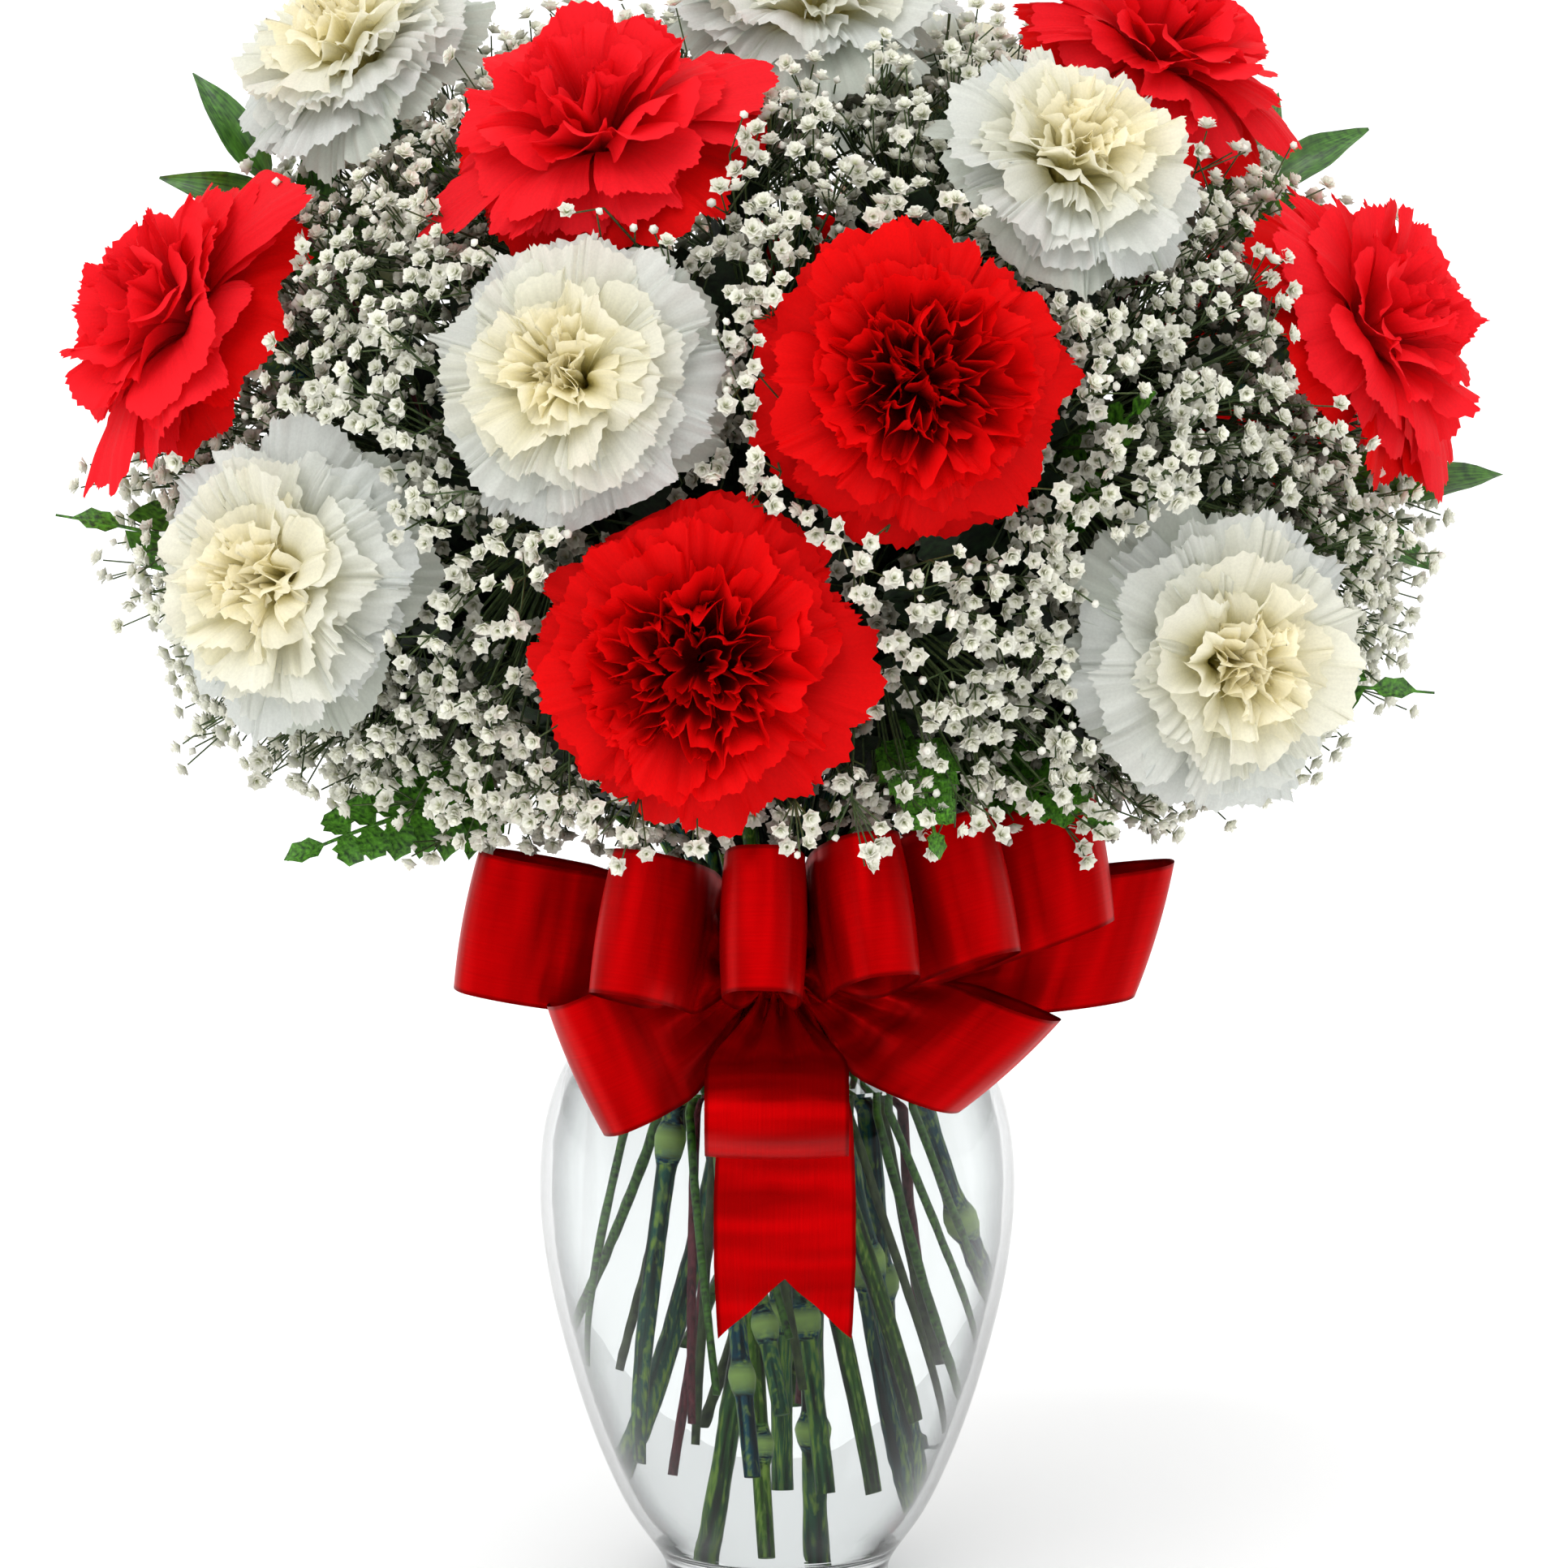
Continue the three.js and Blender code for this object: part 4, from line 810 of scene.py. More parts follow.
def petal(head_frame, tier, share, centre_turn, half_width, draw, edge, vary=(0.84, 1.04)):
    """One petal: a ruffled fan with a toothed edge, as a sector of its tier's cup."""
    at, faces, sideways, upward = head_frame
    _, edge_r, edge_h, control_r, control_h, spread, depth, waves = tier
    flute, count, frill = edge
    scale = half_width / TYPICAL_HALF
    inner = share > 0.45
    rows = INNER_ROWS if inner else OUTER_ROWS
    columns = 41 if inner else 61
    u = np.linspace(-1, 1, columns)[None, :]
    v = rows[:, None]
    far = edge_r * half_width * draw.uniform(*vary)
    high = (edge_h + draw.uniform(-3, 3)) * scale
    lobes = 0.03 * (1 - np.cos(draw.uniform(1.5, 2.6) * math.pi * u + draw.uniform(0, 6)))
    reach = v * (1 - (0.3 if inner else 0.18) * u ** 4 - lobes)
    teeth = np.where(np.arange(columns) % 2 == 0, 0.0, 1.0) * draw.uniform(0.2, 1.0, columns)
    # Teeth are about two thirds as deep as they are wide.
    tooth = (1.3 * frill if inner else 1.3) * 2 * math.radians(spread) / (columns - 1)
    if not inner:
        # Scallops some 9 mm wide make the outline uneven.
        scallop = 0.045 * frill * np.abs(np.sin(draw.uniform(2.4, 3.4) * math.pi * u
                                               + draw.uniform(0, 3))) - 0.02
        reach = reach * (1 + scallop * v ** 3)
    reach[-1] += tooth * (teeth - 0.4)
    reach[-2] += 0.2 * tooth * (teeth - 0.4)
    s = 1 - reach
    r = 2 * s * reach * control_r * half_width + reach ** 2 * far + s ** 2 * 1.0
    h = s ** 2 * -ROOT_DEPTH + 2 * s * reach * control_h * scale + reach ** 2 * high
    dr = 2 * s * (control_r * half_width - 1.0) + 2 * reach * (far - control_r * half_width)
    dh = 2 * s * (control_h * scale + ROOT_DEPTH) + 2 * reach * (high - control_h * scale)
    size = np.hypot(dr, dh) + 1e-6
    phase = draw.uniform(0, 6.28, 4)
    k = waves * draw.uniform(0.8, 1.2, 3) * math.pi
    wave = k[0] * u + phase[0] + 0.8 * v
    fold = v ** 1.5 * np.sin(wave) + 0.4 * v ** 2.6 * np.sin(2.3 * k[1] * u + phase[1] - 1.5 * v)
    if inner:
        fold += 0.6 * flute * v ** 4 * np.sin(4.1 * k[2] * u + phase[2] + 2 * v)
    else:
        # Uneven flutes along the outer edge.
        flutes = 0.65 + 0.35 * np.sin(3 * u + phase[3])
        fold += flute * v ** 3.5 * flutes * np.sin(count * math.pi * u + phase[2]
                                                   + 1.3 * np.sin(5 * u + phase[0]))
    fold *= depth * scale
    fold += draw.uniform(-2.0, 2.0) * u * v * scale
    curl = draw.uniform(-1.0, 1.0) if inner else draw.uniform(-0.9, 0.5)
    fold += curl * 2.6 * scale * np.clip(v - 0.6, 0, 1) ** 2 / 0.16
    r = r - dh / size * fold
    h = h + dr / size * fold
    turn = centre_turn + math.radians(spread) * draw.uniform(0.82, 1.15) * u
    # The edge winds round as it ruffles, almost back on itself in the inner petals.
    sway = (0.5 if inner else 0.3) * math.radians(spread) / (waves * math.pi)
    turn = turn + sway * v ** 2 * np.sin(2 * wave)
    shift = draw.normal(0, 1.6 if inner else 0.5, 2)
    points = (at + faces * h[..., None]
              + sideways * (np.cos(turn) * r + shift[0] * v)[..., None]
              + upward * (np.sin(turn) * r + shift[1] * v)[..., None])
    lay = lay_grid(points, u, v, share + draw.uniform(0, 0.02))
    return points.reshape(-1, 3), grid_faces(len(rows), columns), lay


def press(points, head):
    """Neighbouring heads flatten each other's petals softly at a plane between them."""
    _, at, _, width = head
    at = np.array(at, float)
    for other in HEADS:
        if other is head:
            continue
        away = np.array(other[1], float) - at
        gap = np.linalg.norm(away)
        if gap > (width + other[3]) / 2 + PRESS_REACH:
            continue
        away /= gap
        limit = gap * width / (width + other[3]) - 0.5
        past = (points - at) @ away - (limit - PRESS_SOFTNESS)
        give = PRESS_SOFTNESS * (1 - np.exp(-np.maximum(past, 0) / PRESS_SOFTNESS))
        over = np.where(past > 0, past - give, 0)
        points = points - over[:, None] * away
    return points


def head_axes(faces):
    faces = direction(*faces)
    sideways = unit(np.cross(faces, UP if abs(faces[2]) < 0.9 else (1, 0, 0)))
    return faces, sideways, np.cross(faces, sideways)


def make_bloom(head, number, material, tiers, edge):
    name, at, faces, width = head
    form = Form()
    draw = np.random.default_rng(HEAD_SEED + number)
    head_frame = (np.array(at, float), *head_axes(faces))
    for level, tier in enumerate(tiers):
        share = level / (len(tiers) - 1)
        start = draw.uniform(0, 6.28)
        for k in range(tier[0]):
            turn = start + 2 * math.pi * (k + draw.uniform(-0.25, 0.25)) / tier[0]
            points, sheet, lay = petal(head_frame, tier, share, turn, width / 2, draw, edge)
            form.add(press(points, head), sheet, lay)
    for turn, reach, spread in LONG_PETALS.get(name, ()):
        tier = (1, reach, *LONG_TIER[2:5], spread, *LONG_TIER[6:])
        points, sheet, lay = petal(head_frame, tier, 0.15, math.radians(turn), width / 2, draw,
                                   edge, (0.98, 1.02))
        form.add(press(points, head), sheet, lay)
    slot = "white_petals" if name.startswith("white") else "red_petals"
    form.piece(f"bloom_{name}", [material], slot, [f"carnation_{name}"])


# Stems.

def make_stalk(head, number, material):
    """Carnation stem with its swollen nodes, the bend to the head, and the toothed calyx."""
    name, at, faces, _ = head
    form = Form()
    faces, sideways, upward = head_axes(faces)
    top = np.array(at, float) - faces * (ROOT_DEPTH + CONTACT_GAP)
    base = top - faces * CALYX_LENGTH
    neck = SPOTS[number]
    foot = stem_foot(neck, cut_height(number))
    reach = 0.38 * np.linalg.norm(base - neck)
    rise = np.array([neck[0] * 0.25, neck[1] * 0.25, 34])
    length = np.linalg.norm(neck - foot)
    node = length * NODE_SHARES[number % 4]
    steps = np.unique(np.concatenate([
        np.linspace(0, length, 14), node + np.array([-6, -3.5, -1.6, 0, 1.6, 3.5, 6])]))
    steps = steps[(steps >= 0) & (steps <= length)]
    below = foot + (neck - foot) * (steps / length)[:, None]
    swell = np.exp(-((steps - node) / 3.0) ** 2) + 0.45 * np.exp(-((steps - node + 3) / 1.2) ** 2)
    radii = STEM_RADIUS + (NODE_RADIUS - STEM_RADIUS) * np.minimum(swell, 1.15)
    bend = cubic(neck, neck + rise, base - faces * reach, base, np.linspace(0, 1, 16))[1:]
    path = np.vstack([below, bend])
    radii = np.concatenate([radii, np.full(len(bend), STEM_RADIUS)])
    hue = (number * 0.37) % 1
    tone = np.concatenate([hue + (2 - hue) * np.minimum(swell, 1), np.full(len(bend), hue)])
    tube(form, path, radii, 12, tone)
    calyx = base + faces * np.array([0, 2.5, 6, 12, 19, CALYX_LENGTH])[:, None]
    tube(form, calyx, [2.0, 3.6, 4.7, 5.2, 5.7, CALYX_RADIUS], 20, 1.3, caps=False)
    # Five pointed teeth at the mouth of the calyx.
    half = np.linspace(-0.6, 0.6, 7)
    for k in range(5):
        rows = []
        for r, up, narrow in ((5.9, 0.0, 1.0), (6.6, 3.0, 0.6), (7.0, 5.5, 0.05)):
            spin = 2 * math.pi * k / 5 + half * narrow
            rows.append(top + faces * (up - 1) + (sideways * np.cos(spin)[:, None]
                                                 + upward * np.sin(spin)[:, None]) * r)
        form.add(np.array(rows), grid_faces(3, 7), (0, 0, 1.3))
    form.piece(f"stalk_{name}", [material], "stem_green", [f"stem_{name}"])


# Foliage.

def pinna(form, root, along, side, face, length, width, lobes, draw, tone):
    """Leathery leaflet with a lobed edge and a fold at its midrib."""
    rows = 2 * lobes + 2
    t = np.linspace(0, 1, rows)
    outline = np.sin(math.pi * np.clip(t, 0.03, 1) ** 0.75) ** 0.8
    notch = np.where(np.arange(rows) % 2 == 0, 0.74, 1.0)
    notch[0] = notch[-1] = 0.25
    wide = width / 2 * outline * notch
    droop = -0.16 * length * t ** 2 * draw.uniform(0.4, 1.4)
    centre = root + along * (t * length)[:, None] + face * droop[:, None]
    lean = along * (0.35 * wide)[:, None]
    left = centre - side * wide[:, None] + lean + face * (0.22 * wide)[:, None]
    right = centre + side * wide[:, None] + lean + face * (0.22 * wide)[:, None]
    points = np.stack([left, centre, right], 1)
    lay = lay_grid(points, [-1, 0, 1], t[:, None] * length, tone)
    form.add(points, grid_faces(rows, 3), lay)


def frond(form, start, tip, half, pairs, lobes, draw, axes=None):
    """Fern frond: an arched rib with leathery pinnae in pairs, shorter toward the tip."""
    start, tip = np.array(start, float), np.array(tip, float)
    along, side, face = axes or leaf_frame(start, tip)
    length = np.linalg.norm(tip - start)
    t = np.linspace(0, 1, pairs + 2)
    rib = start + along * (t * length)[:, None] + face * (0.3 * length * t * (1 - t))[:, None]
    tube(form, rib, np.linspace(1.0, 0.35, len(rib)), 5)
    shade = draw.uniform(0, 1)
    for i in range(pairs + 1):
        share = (i + 0.3) / (pairs + 1.7)
        root = start + along * share * length + face * 0.3 * length * share * (1 - share)
        reach = half * (1 - 0.78 * share) * (0.8 if i == 0 else 1)
        if i == pairs:
            pinna(form, root, along, side, face, length * 0.18, half * 0.4, 2, draw, shade)
            continue
        for hand in (-1, 1):
            lean = unit(side * hand + along * draw.uniform(0.45, 0.75)
                        + face * draw.uniform(-0.1, 0.12))
            beside = unit(np.cross(face, lean))
            pinna(form, root, lean, beside, face, reach * 1.12, 1.3 * length / (pairs + 1),
                  lobes, draw, shade)


def leaf(form, root, along, side, face, length, width, draw):
    """Pointed leaf with a raised midrib, cupped and bent back at its tip."""
    rows, columns = 12, 7
    t = np.linspace(0, 1, rows)[:, None]
    u = np.linspace(-1, 1, columns)[None, :]
    wide = width / 2 * np.sin(math.pi * t ** 0.8) ** 0.85 * (1 - 0.15 * t)
    wide = np.maximum(wide, 0.25)
    lift = 0.35 * wide * u ** 2 - 0.12 * length * t ** 2.2 + 0.05 * length * np.sin(math.pi * t)
    wave = 0.5 * np.sin(5 * t * math.pi + draw.uniform(0, 6)) * u
    points = (root + along * (t * length)[..., None] + side * (wide * u)[..., None]
              + face * (lift + wave)[..., None])
    form.add(points, grid_faces(rows, columns), lay_grid(points, u, t * length))


# Baby's breath.

def floret_pattern(draw):
    """Small double floret, its heart at the origin and facing +Z, one unit in radius."""
    points, faces, lay = [], [], []
    for count, far, wide, lift in FLORET_RINGS:
        start = draw.uniform(0, 6.28)
        for k in range(count):
            a = start + 2 * math.pi * (k + draw.uniform(-0.15, 0.15)) / count
            out = np.array([math.cos(a), math.sin(a), 0])
            side = np.array([-math.sin(a), math.cos(a), 0])
            rise = UP * lift * draw.uniform(0.7, 1.3)
            reach = out * far * draw.uniform(0.85, 1.1)
            brow = reach * 0.62 + rise * 0.8 + UP * 0.08
            n = len(points)
            points += [UP * -0.2, brow - side * wide, reach + rise, brow + side * wide]
            faces += [(n, n + 2, n + 1), (n, n + 3, n + 2)]
            lay += [0.0, 0.7, 1.0, 0.7]
    return np.array(points), faces, np.array(lay)


def bud_pattern():
    """Closed bud, less than half as wide as an open floret."""
    turn = np.arange(6) * math.pi / 3
    ring = np.stack([0.42 * np.cos(turn), 0.42 * np.sin(turn), turn * 0], -1)
    points = np.vstack([(0, 0, -0.4), ring, (0, 0, 0.5)])
    faces = [(0, 1 + (k + 1) % 6, 1 + k) for k in range(6)]
    faces += [(7, 1 + k, 1 + (k + 1) % 6) for k in range(6)]
    return points, faces, np.array([0.1, *[0.8] * 6, 1.0])


def head_blocks(place):
    """True where a floret would stand in or before a flower head."""
    for _, at, faces, width in HEADS:
        away = place - np.array(at, float)
        ahead = away.dot(direction(*faces))
        if -13 < ahead < 60 and np.linalg.norm(away - direction(*faces) * ahead) < width / 2 - 1:
            return True
    return False


def cluster_spots(draw):
    """Middle, outward way and depth of each small cluster of florets."""
    spots = []
    for count, low, high in CLUSTER_LAYERS:
        for way in spiral(count, lowest=-0.8):
            way = unit(way + draw.normal(0, 0.03, 3))
            share = draw.uniform(low, high)
            if way[2] < -0.5:
                share *= 1 + 0.35 * (way[2] + 0.5)
            spots.append((dome_point(way, share), unit(way / DOME_HALF), share))
    # A few sprays stand out past the rest all round.
    for way in spiral(STRAY_SPRAYS, lowest=-0.7):
        way = unit(way + draw.normal(0, 0.08, 3))
        share = draw.uniform(1.05, 1.1)
        spots.append((dome_point(way, share), unit(way / DOME_HALF), share))
    # Others hang over the upper edge of the bow.
    for around in np.linspace(-58, 58, SKIRT_SPRAYS):
        around += draw.uniform(-3, 3)
        out = direction(around, 0)
        reach = 128 - 0.2 * max(abs(around) - 30, 0) + draw.uniform(0, 4)
        spots.append((out * reach + UP * draw.uniform(215, 226), out, 1.0))
    return spots


def make_gypsophila(floret, twig):
    """Sprays of baby's breath that fill the dome between the heads."""
    draw = np.random.default_rng(SPRAY_SEED)
    patterns = [floret_pattern(draw) for _ in range(8)]
    bud = bud_pattern()
    hubs = [(g, hub) for g, group in enumerate(HUBS) for hub in group]
    forms = [Form() for _ in range(SPRAY_COUNT)]
    for group, hub in hubs:
        fork = fork_of(HUBS[group])
        tube(forms[group], cubic(fork, fork + UP * 12, (fork + hub) / 2 + UP * 6, hub,
                                 np.linspace(0, 1, 6)), 0.8, 4, finish=1)
    for middle, way, share in cluster_spots(draw):
        group, hub = min(hubs, key=lambda item: ((item[1] - middle) ** 2).sum())
        form = forms[group]
        knot = middle - way * draw.uniform(8, 12)
        knot[2] = max(knot[2], 226.0 if middle[1] < -110 else 204.0)
        places = []
        for _ in range(draw.integers(6, 10)):
            place = middle + draw.normal(0, FLORET_SPREAD, 3)
            near = any(np.linalg.norm(place - other) < FLORET_GAP for other in places)
            if not near and not head_blocks(place) and place[2] > LOWEST_FLORET:
                places.append(place)
        if not places or draw.random() < 0.08:
            continue
        mid = (hub + knot) / 2 + UP * 2
        tube(form, [hub, mid, knot], [0.55, 0.45, 0.35], 3, finish=1, caps=False)
        stray = share > STRAY_SHARE
        for place in places[:3 if stray else 6]:
            facing = unit(way + draw.normal(0, 0.4, 3))
            tube(form, [knot, place - facing * 1.2], [0.28, 0.25], 3, finish=1, caps=False)
            closed = draw.random() < (0.3 if stray else 0.14)
            pattern, faces, lay = bud if closed else patterns[draw.integers(len(patterns))]
            side = unit(np.cross(facing, draw.normal(0, 1, 3)))
            axes = np.stack([side, np.cross(facing, side), facing])
            lays = lay_grid(pattern, 0, lay, np.clip((share - 0.78) / 0.17, 0, 1))
            form.add(place + pattern @ axes * draw.uniform(*FLORET_RADII), faces, lays)
    for group, form in enumerate(forms):
        number = len(HEADS) + len(FRONDS) + len(SPRIGS) + group
        slim_stem(form, number, SPRAY_SHORTER, fork_of(HUBS[group]), UP, finish=1)
        form.piece(f"baby_breath_{group + 1}", [floret, twig], "gypsophila_white",
                   [f"gypsophila_{group + 1}"])


# Ribbon.

def pleated_strip(form, path, wide, widths, full_width, columns=19, notch=0.0):
    """Ribbon along a path, drawn in by pleats wherever it shows narrower than it is."""
    path = np.asarray(path, float)
    widths = np.asarray(widths, float)
    along = tangents(path)
    normal = np.cross(along, wide)
    normal /= np.linalg.norm(normal, axis=1)[:, None]
    s = np.linspace(-1, 1, columns)
    ratio = np.maximum((full_width / widths) ** 2 - 1, 0)
    depth = widths / (2 * math.pi * PLEATS) * np.sqrt(2 * ratio)
    depth = np.minimum(depth, DEEPEST_PLEAT)
    rise = depth[:, None] * np.sin(PLEATS * math.pi * s)
    crown = RIBBON_CROWN * s ** 2 * (widths / full_width)[:, None]
    points = (path[:, None] + np.asarray(wide)[None, None] * (widths / 2)[:, None, None]
              * s[None, :, None] + normal[:, None] * (rise - crown)[..., None])
    length = distances(path)
    at = np.broadcast_to(length[:, None], (len(path), columns))
    if notch:
        near = np.clip((length - length[-1]) / (2.5 * notch) + 1, 0, 1)
        cut = notch * near[:, None] * (1 - np.abs(s))
        points -= along[:, None] * cut[..., None]
        at = at - cut
    form.add(points, grid_faces(len(path), columns), lay_grid(points, s, at))
    return float(length[-1])


def make_bow(material, full_width):
    form = Form()
    total = 0.0
    shares = smooth_line(LOOP_OUTLINE, LOOP_SAMPLES)
    for to, upright, lean in LOOPS:
        reach = np.array(to, float) - KNOT
        length = np.linalg.norm(reach)
        along = reach / length
        guide = UP if upright else np.cross(along, (0, -1, 0))
        wide = unit(guide - along * along.dot(guide))
        across = np.cross(along, wide)
        wide = wide * math.cos(math.radians(lean)) + along * math.sin(math.radians(lean))
        inner = KNOT_RADIUS - 2
        path = (KNOT + along * (inner + shares[:, :1] * (length - inner))
                + across * shares[:, 1:] * BARREL)
        opened = np.clip(shares[:, 0] / 0.6, 0, 1)
        opened = opened * opened * (3 - 2 * opened)
        widths = RIBBON_GATHER + (full_width - RIBBON_GATHER) * opened
        total += pleated_strip(form, path, wide, widths, full_width)
    tail = smooth_line([KNOT - (0, 1, 0), *TAIL], TAIL_SAMPLES)
    widths = np.interp(np.linspace(0, len(TAIL), TAIL_SAMPLES), range(len(TAIL) + 1),
                       TAIL_WIDTHS)
    total += pleated_strip(form, tail, np.array([1.0, 0, 0]), widths, full_width, columns=25,
                           notch=TAIL_NOTCH)
    turn = np.linspace(0, 2 * math.pi, 33)
    wrap = KNOT + np.stack([np.sin(turn) * KNOT_RADIUS, -np.cos(turn) * KNOT_RADIUS,
                            turn * 0], -1)
    total += pleated_strip(form, wrap, UP, np.full(len(wrap), WRAP_WIDTH), full_width)
    bow = form.piece("bow_ribbon", [material], "satin_ribbon", ["bow"])


def make_tie(material):
    form = Form()
    line = vase_line(0, samples=72)
    turn = np.linspace(0, 2 * math.pi, SEGMENTS + 1)
    heights = np.linspace(TIE_HEIGHT - TIE_WIDTH / 2, TIE_HEIGHT + TIE_WIDTH / 2, TIE_COLUMNS)
    # The band lies 0.9 mm off the glass, so that its fine ripples clear it.
    radii = np.array([radius_at(line, z) for z in heights]) + 0.9
    ripple = 0.35 * np.sin(np.linspace(0, 6 * math.pi, TIE_COLUMNS))[None, :]
    r = radii[None, :] + ripple
    points = np.stack([r * np.cos(turn)[:, None], r * np.sin(turn)[:, None],
                       np.broadcast_to(heights, (len(turn), len(heights)))], -1)
    lay = lay_grid(points, np.linspace(-1, 1, TIE_COLUMNS), turn[:, None] * NECK_RADIUS)
    form.add(points, grid_faces(len(turn), TIE_COLUMNS), lay)
    tie = form.piece("neck_band", [material], "satin_ribbon", ["neck_tie"])


# Settings that a user would change.

def colour_setting(name, code, description):
    return bpy.props.FloatVectorProperty(
        name=name, description=description, subtype="COLOR", size=4, min=0, max=1,
        default=colour(code))


class BouquetColours(bpy.types.PropertyGroup):
    """Colours of the bouquet."""
    white: colour_setting("White Petals", "#ebeeea", "Outer petals of the white carnations")
    cream: colour_setting("Cream Hearts", "#fff9de", "Inner petals of the white carnations")
    scarlet: colour_setting("Scarlet Petals", "#f41f2a", "Petals of the bright red carnations")
    crimson: colour_setting("Crimson Petals", "#ea0406", "Petals of the deep red carnations")
    ribbon: colour_setting("Ribbon", "#ae0003", "Satin of the bow and the neck band")


class BouquetSizes(bpy.types.PropertyGroup):
    """Sizes of the bouquet."""
    ribbon_width: bpy.props.FloatProperty(
        name="Ribbon Width", description="Width of the satin ribbon lying flat",
        unit="LENGTH", default=0.036, min=0.02, max=0.05)


class BOUQUET_OT_stage(bpy.types.Operator):
    """Make the camera, the soft studio light and the pale floor"""
    bl_idname = "bouquet.stage"
    bl_label = "Stage"

    def execute(self, context):
        scene = context.scene
        lens = bpy.data.cameras.new("Camera")
        lens.sensor_width = SENSOR
        lens.lens = SENSOR / 2 * CAMERA_DISTANCE / HALF_FRAME
        camera = bpy.data.objects.new("Camera", lens)
        level = math.cos(CAMERA_ELEVATION) * CAMERA_DISTANCE
        x, y, z = CAMERA_TARGET
        camera.location = (x, y - level, z + math.sin(CAMERA_ELEVATION) * CAMERA_DISTANCE)
        camera.rotation_euler = (math.pi / 2 - CAMERA_ELEVATION, 0, 0)
        scene.collection.objects.link(camera)
        scene.camera = camera
        world = bpy.data.worlds.new("Studio")
        world.use_nodes = True
        world.node_tree.nodes["Background"].inputs[0].default_value = colour("#ffffff")
        world.node_tree.nodes["Background"].inputs[1].default_value = WORLD_LIGHT
        scene.world = world
        scene.view_settings.view_transform = "Standard"
        for name, around, above, strength, spread in LAMPS:
            lamp = bpy.data.lights.new(name, "SUN")
            lamp.energy = strength
            lamp.angle = math.radians(spread)
            light = bpy.data.objects.new(name, lamp)
            light.rotation_euler = (math.radians(90 - above), 0, math.radians(around))
            scene.collection.objects.link(light)
        material, tree = new_material("Studio paper, matt white")
        grain = add_node(tree, "TexNoise", {"Scale": scale_of(400.0)})
        tone = add_node(tree, "Mix", {
            0: grain, 6: colour("#fafafa"), 7: colour("#fefefe")}, data_type="RGBA")
        paper = add_node(tree, "BsdfPrincipled", {
            "Base Color": tone, "Roughness": 0.9, "Specular IOR Level": 0.1})
        add_node(tree, "OutputMaterial", {0: paper})
        mesh = bpy.data.meshes.new("Floor")
        corners = [(x * FLOOR_HALF, y * FLOOR_HALF, -FLOOR_DROP)
                   for x, y in ((-1, -1), (1, -1), (1, 1), (-1, 1))]
        mesh.from_pydata(corners, [], [(0, 1, 2, 3)])
        mesh.materials.append(material)
        floor = bpy.data.objects.new("Floor", mesh)
        scene.collection.objects.link(floor)
        return {"FINISHED"}


class BOUQUET_OT_vase(bpy.types.Operator):
    """Make the blown glass vase and the water in it"""
    bl_idname = "bouquet.vase"
    bl_label = "Vase and Water"

    def execute(self, context):
        # Blown soda-lime glass, fire-polished: a painted dark outline where it is seen edge on,
        # clear elsewhere.
        glass = clear_material("Soda-lime glass, blown", colour("#eef0f0"), colour("#141c1e"),
                               ior=1.52, shine=0.15)
        # Still tap water: its full body swells the stems sideways as a lens does.
        water = clear_material("Water, still", colour("#fbfcfc"), colour("#dce0e0"),
                               ior=1.333, shine=0.1)
        outside = vase_line(0, FINE_SAMPLES)
        inside = vase_line(GLASS_WALL, FINE_SAMPLES)
        keep = inside[inside[:, 1] > VASE_FLOOR + FLOOR_CURVE]
        corner = floor_corner(inside, VASE_FLOOR, np.linspace(0.2, math.pi / 2, 6))
        lip_out, lip_in = outside[-1], keep[-1]
        lip = [((lip_out[0] + lip_in[0]) / 2 + (lip_out[0] - lip_in[0]) / 2 * math.cos(a),
                lip_out[1] - LIP_RISE + LIP_RISE * math.sin(a))
               for a in np.linspace(0.3, 2.84, 7)]
        form = Form()
        profile = [*FOOT_RING, *outside[:-1], *lip, *keep[:-1][::-1], *corner, (0, VASE_FLOOR)]
        lathe(form, profile, SEGMENTS)
        form.piece("vase_glass", [glass], "clear_glass", ["vase"])
        line = vase_line(GLASS_WALL + CONTACT_GAP, FINE_SAMPLES)
        bottom = VASE_FLOOR + CONTACT_GAP
        body = line[(line[:, 1] > bottom + FLOOR_CURVE) & (line[:, 1] < WATER_LEVEL - 0.5)]
        corner = floor_corner(line, bottom, np.linspace(math.pi / 2, 0.2, 6))
        brim = radius_at(line, WATER_LEVEL)
        top = [(brim - inward, WATER_LEVEL + rise) for inward, rise in MENISCUS]
        form = Form()
        lathe(form, [(0, bottom), *corner, *body, *top, (0, WATER_LEVEL)], SEGMENTS)
        form.piece("vase_water", [water], "water", ["water"])
        return {"FINISHED"}


class BOUQUET_OT_stalks(bpy.types.Operator):
    """Make the carnation stems with their nodes and calyces"""
    bl_idname = "bouquet.stalks"
    bl_label = "Carnation Stems"

    def execute(self, context):
        green = stem_material()
        for number, head in enumerate(HEADS):
            make_stalk(head, number, green)
        return {"FINISHED"}


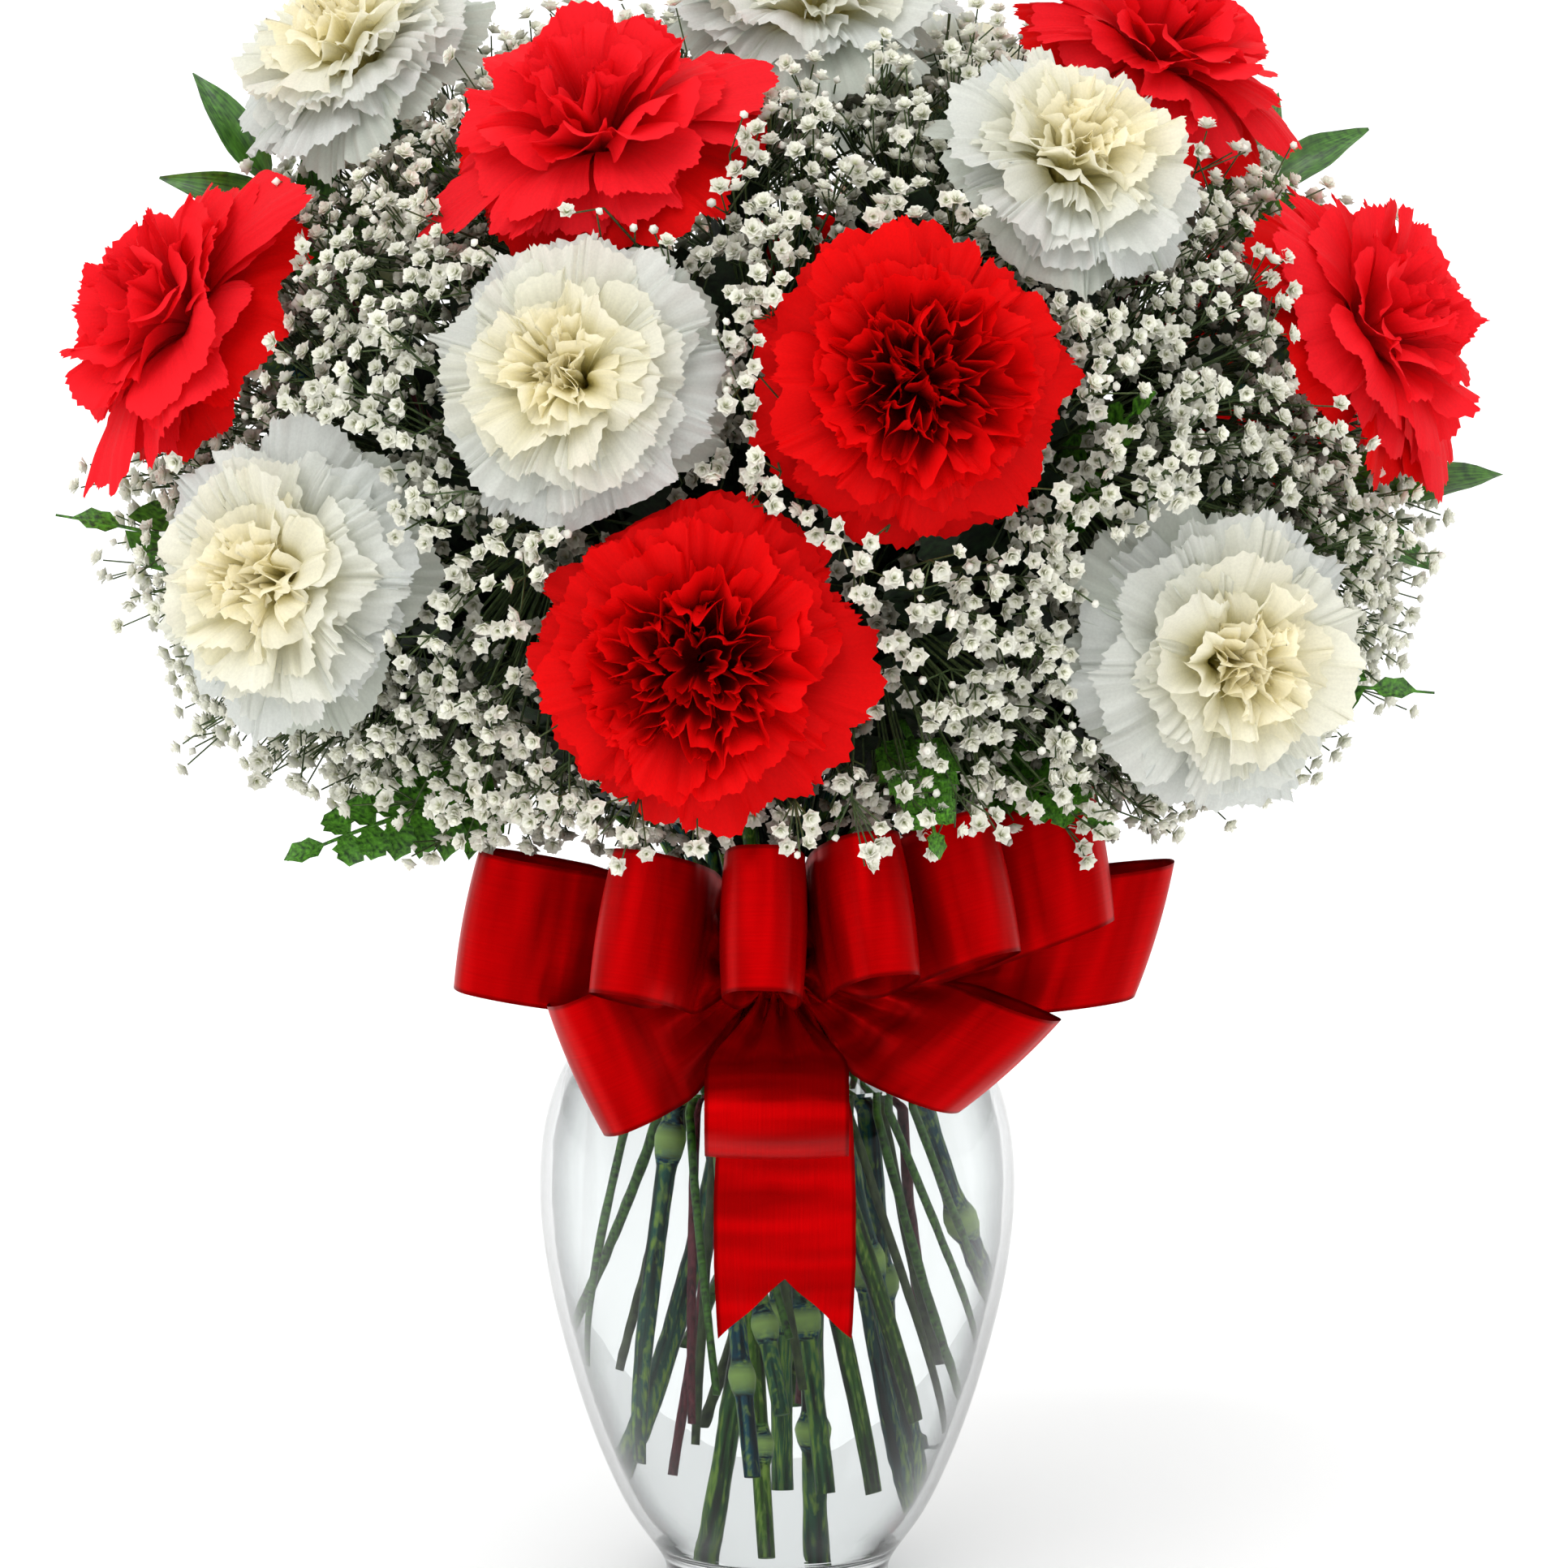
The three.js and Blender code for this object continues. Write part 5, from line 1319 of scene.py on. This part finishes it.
class BOUQUET_OT_blooms(bpy.types.Operator):
    """Make the carnation heads, petal by petal"""
    bl_idname = "bouquet.blooms"
    bl_label = "Carnation Heads"

    def execute(self, context):
        colours = context.scene.bouquet_colours
        white, cream = tuple(colours.white), tuple(colours.cream)
        scarlet, crimson = tuple(colours.scarlet), tuple(colours.crimson)
        # Toward their roots the white petals turn a warm cream; the red ones darken there as
        # painted shade in the hollows.
        full = petal_material("Carnation petal, cream-white", colour("#dde2d8"), white, cream,
                              colour("#fff6ac"), (-0.1, 0.75), 0.4, 0.42)
        bright = petal_material("Carnation petal, scarlet", crimson, scarlet, scarlet,
                                colour("#e41822"), (0.1, 0.8), 0.3, 0.24)
        dark = petal_material("Carnation petal, crimson", crimson, crimson, crimson,
                              colour("#8a0206"), (0.1, 1.0), 0.3, 0.24)
        for number, head in enumerate(HEADS):
            if head[0].startswith("white"):
                make_bloom(head, number, full, FULL_TIERS, WHITE_EDGE)
            elif head[0] in DEEP_REDS:
                make_bloom(head, number, dark, DEEP_TIERS, CRIMSON_EDGE)
            else:
                make_bloom(head, number, bright, OPEN_TIERS, SCARLET_EDGE)
        return {"FINISHED"}


class BOUQUET_OT_foliage(bpy.types.Operator):
    """Make the fern, the leafy sprigs and the fern inside the bouquet, darkened with painted shade
    """
    bl_idname = "bouquet.foliage"
    bl_label = "Foliage"

    def execute(self, context):
        # Leatherleaf fern: dull leathery green, darker between the veins.
        fern = plant_material("Leatherleaf fern, leathery", colour("#16380a"),
                              colour("#579a26"), 0.42, 11.0, (3.0, 0.9, 3.0))
        # Smilax-like sprig leaf with a glossy skin and fine veins along it.
        gloss = plant_material("Sprig leaf, glossy", colour("#1a4010"), colour("#4f8a26"),
                               0.32, 16.0, (7.0, 0.06, 1.0), 0.3)
        # Woody sprig stem with a thin dull red-brown bark.
        bark = plant_material("Sprig stem, woody", colour("#3c1018"), colour("#8c3c48"),
                              0.6, 8.0, (4.0, 0.1, 1.0))
        draw = np.random.default_rng(FOLIAGE_SEED)
        first = len(HEADS)
        for i, (start, tip, half) in enumerate(FRONDS):
            form = Form()
            along, _, _ = leaf_frame(start, tip)
            pinnae = BROAD_PINNAE if i in BROAD_FRONDS else FINE_PINNAE
            frond(form, start, tip, half, *pinnae, draw)
            slim_stem(form, first + i, SLIM_SHORTER, np.array(start, float), along)
            form.piece(f"fern_frond_{i + 1}", [fern], "fern_green", [f"fern_{i + 1}"])
        first += len(FRONDS)
        for i, (start, tip) in enumerate(SPRIGS):
            form = Form()
            along, side, face = leaf_frame(start, tip)
            start, tip = np.array(start, float), np.array(tip, float)
            end = tip - along * LEAF_LENGTH
            slim_stem(form, first + i, SLIM_SHORTER, start, along, [end], finish=1)
            for k in range(SPRIG_LEAVES):
                last = k == SPRIG_LEAVES - 1
                hand = 1 if k % 2 else -1
                slant = unit(along + side * (0 if last else hand * 0.9))
                root = start + (end - start) * k / (SPRIG_LEAVES - 1)
                leaf(form, root, slant, np.cross(face, slant), face, LEAF_LENGTH, LEAF_WIDTH, draw)
            form.piece(f"leafy_sprig_{i + 1}", [gloss, bark], "leaf_green",
                       [f"leaf_sprig_{i + 1}"])
        # Fern inside the dome, seen dark through the florets; its material has painted shade.
        form = Form()
        for way in spiral(INNER_FRONDS, lowest=-0.72):
            tip = dome_point(unit(way + draw.normal(0, 0.05, 3)), draw.uniform(0.76, 0.86))
            root = np.array([way[0] * INNER_ROOT_SPREAD, way[1] * INNER_ROOT_SPREAD,
                             INNER_ROOT_HEIGHT])
            start = root + (tip - root) * INNER_BLADE_START
            tube(form, [root, (root + start) / 2 + UP * 4, start], [1.0, 0.9, 0.8], 4)
            along = unit(tip - start)
            side = unit(np.cross(way, along)) if abs(along.dot(way)) < 0.95 else unit(
                np.cross(draw.normal(0, 1, 3), along))
            frond(form, start, tip, INNER_HALF, *FINE_PINNAE, draw,
                  (along, side, np.cross(along, side)))
        # The same fern with painted shade: its colours are darkened as shade deep in the bouquet
        # would darken them.
        shaded = plant_material("Leatherleaf fern, shaded", colour("#081408"),
                                colour("#1c3418"), 0.6, 11.0, (3.0, 0.9, 3.0))
        form.piece("inner_fern", [shaded], "fern_green")
        return {"FINISHED"}


class BOUQUET_OT_gypsophila(bpy.types.Operator):
    """Make the sprays of baby's breath"""
    bl_idname = "bouquet.gypsophila"
    bl_label = "Baby's Breath"

    def execute(self, context):
        # Wiry stalk of baby's breath: smooth, grey-green, about as thick as a thread.
        twig = plant_material("Baby's breath stalk, wiry", colour("#26361c"),
                              colour("#566b3a"), 0.6, 6.0, (3.0, 0.2, 3.0))
        make_gypsophila(floret_material(), twig)
        return {"FINISHED"}


class BOUQUET_OT_ribbon(bpy.types.Operator):
    """Make the satin bow and the band round the neck"""
    bl_idname = "bouquet.ribbon"
    bl_label = "Ribbon"

    def execute(self, context):
        width = context.scene.bouquet_sizes.ribbon_width / MM
        satin = satin_material(tuple(context.scene.bouquet_colours.ribbon), width)
        make_tie(satin)
        make_bow(satin, width)
        return {"FINISHED"}


OPERATORS = (
    BOUQUET_OT_stage, BOUQUET_OT_vase, BOUQUET_OT_stalks, BOUQUET_OT_blooms,
    BOUQUET_OT_foliage, BOUQUET_OT_gypsophila, BOUQUET_OT_ribbon,
)


class BOUQUET_PT_panel(bpy.types.Panel):
    """Pieces and settings of the bouquet"""
    bl_idname = "BOUQUET_PT_panel"
    bl_label = "Carnations in a Vase"
    bl_space_type = "VIEW_3D"
    bl_region_type = "UI"
    bl_category = "Bouquet"

    def draw(self, context):
        for settings in (context.scene.bouquet_colours, context.scene.bouquet_sizes):
            for name in settings.__annotations__:
                self.layout.prop(settings, name)
        for operator in OPERATORS:
            self.layout.operator(operator.bl_idname)


CLASSES = (BouquetColours, BouquetSizes, *OPERATORS, BOUQUET_PT_panel)


def register():
    for item in CLASSES:
        bpy.utils.register_class(item)
    bpy.types.Scene.bouquet_colours = bpy.props.PointerProperty(type=BouquetColours)
    bpy.types.Scene.bouquet_sizes = bpy.props.PointerProperty(type=BouquetSizes)


def unregister():
    del bpy.types.Scene.bouquet_sizes
    del bpy.types.Scene.bouquet_colours
    for item in reversed(CLASSES):
        bpy.utils.unregister_class(item)


def main():
    register()
    bpy.ops.bouquet.stage()
    bpy.ops.bouquet.vase()
    bpy.ops.bouquet.stalks()
    bpy.ops.bouquet.blooms()
    bpy.ops.bouquet.foliage()
    bpy.ops.bouquet.gypsophila()
    bpy.ops.bouquet.ribbon()


if __name__ == "__main__":
    main()
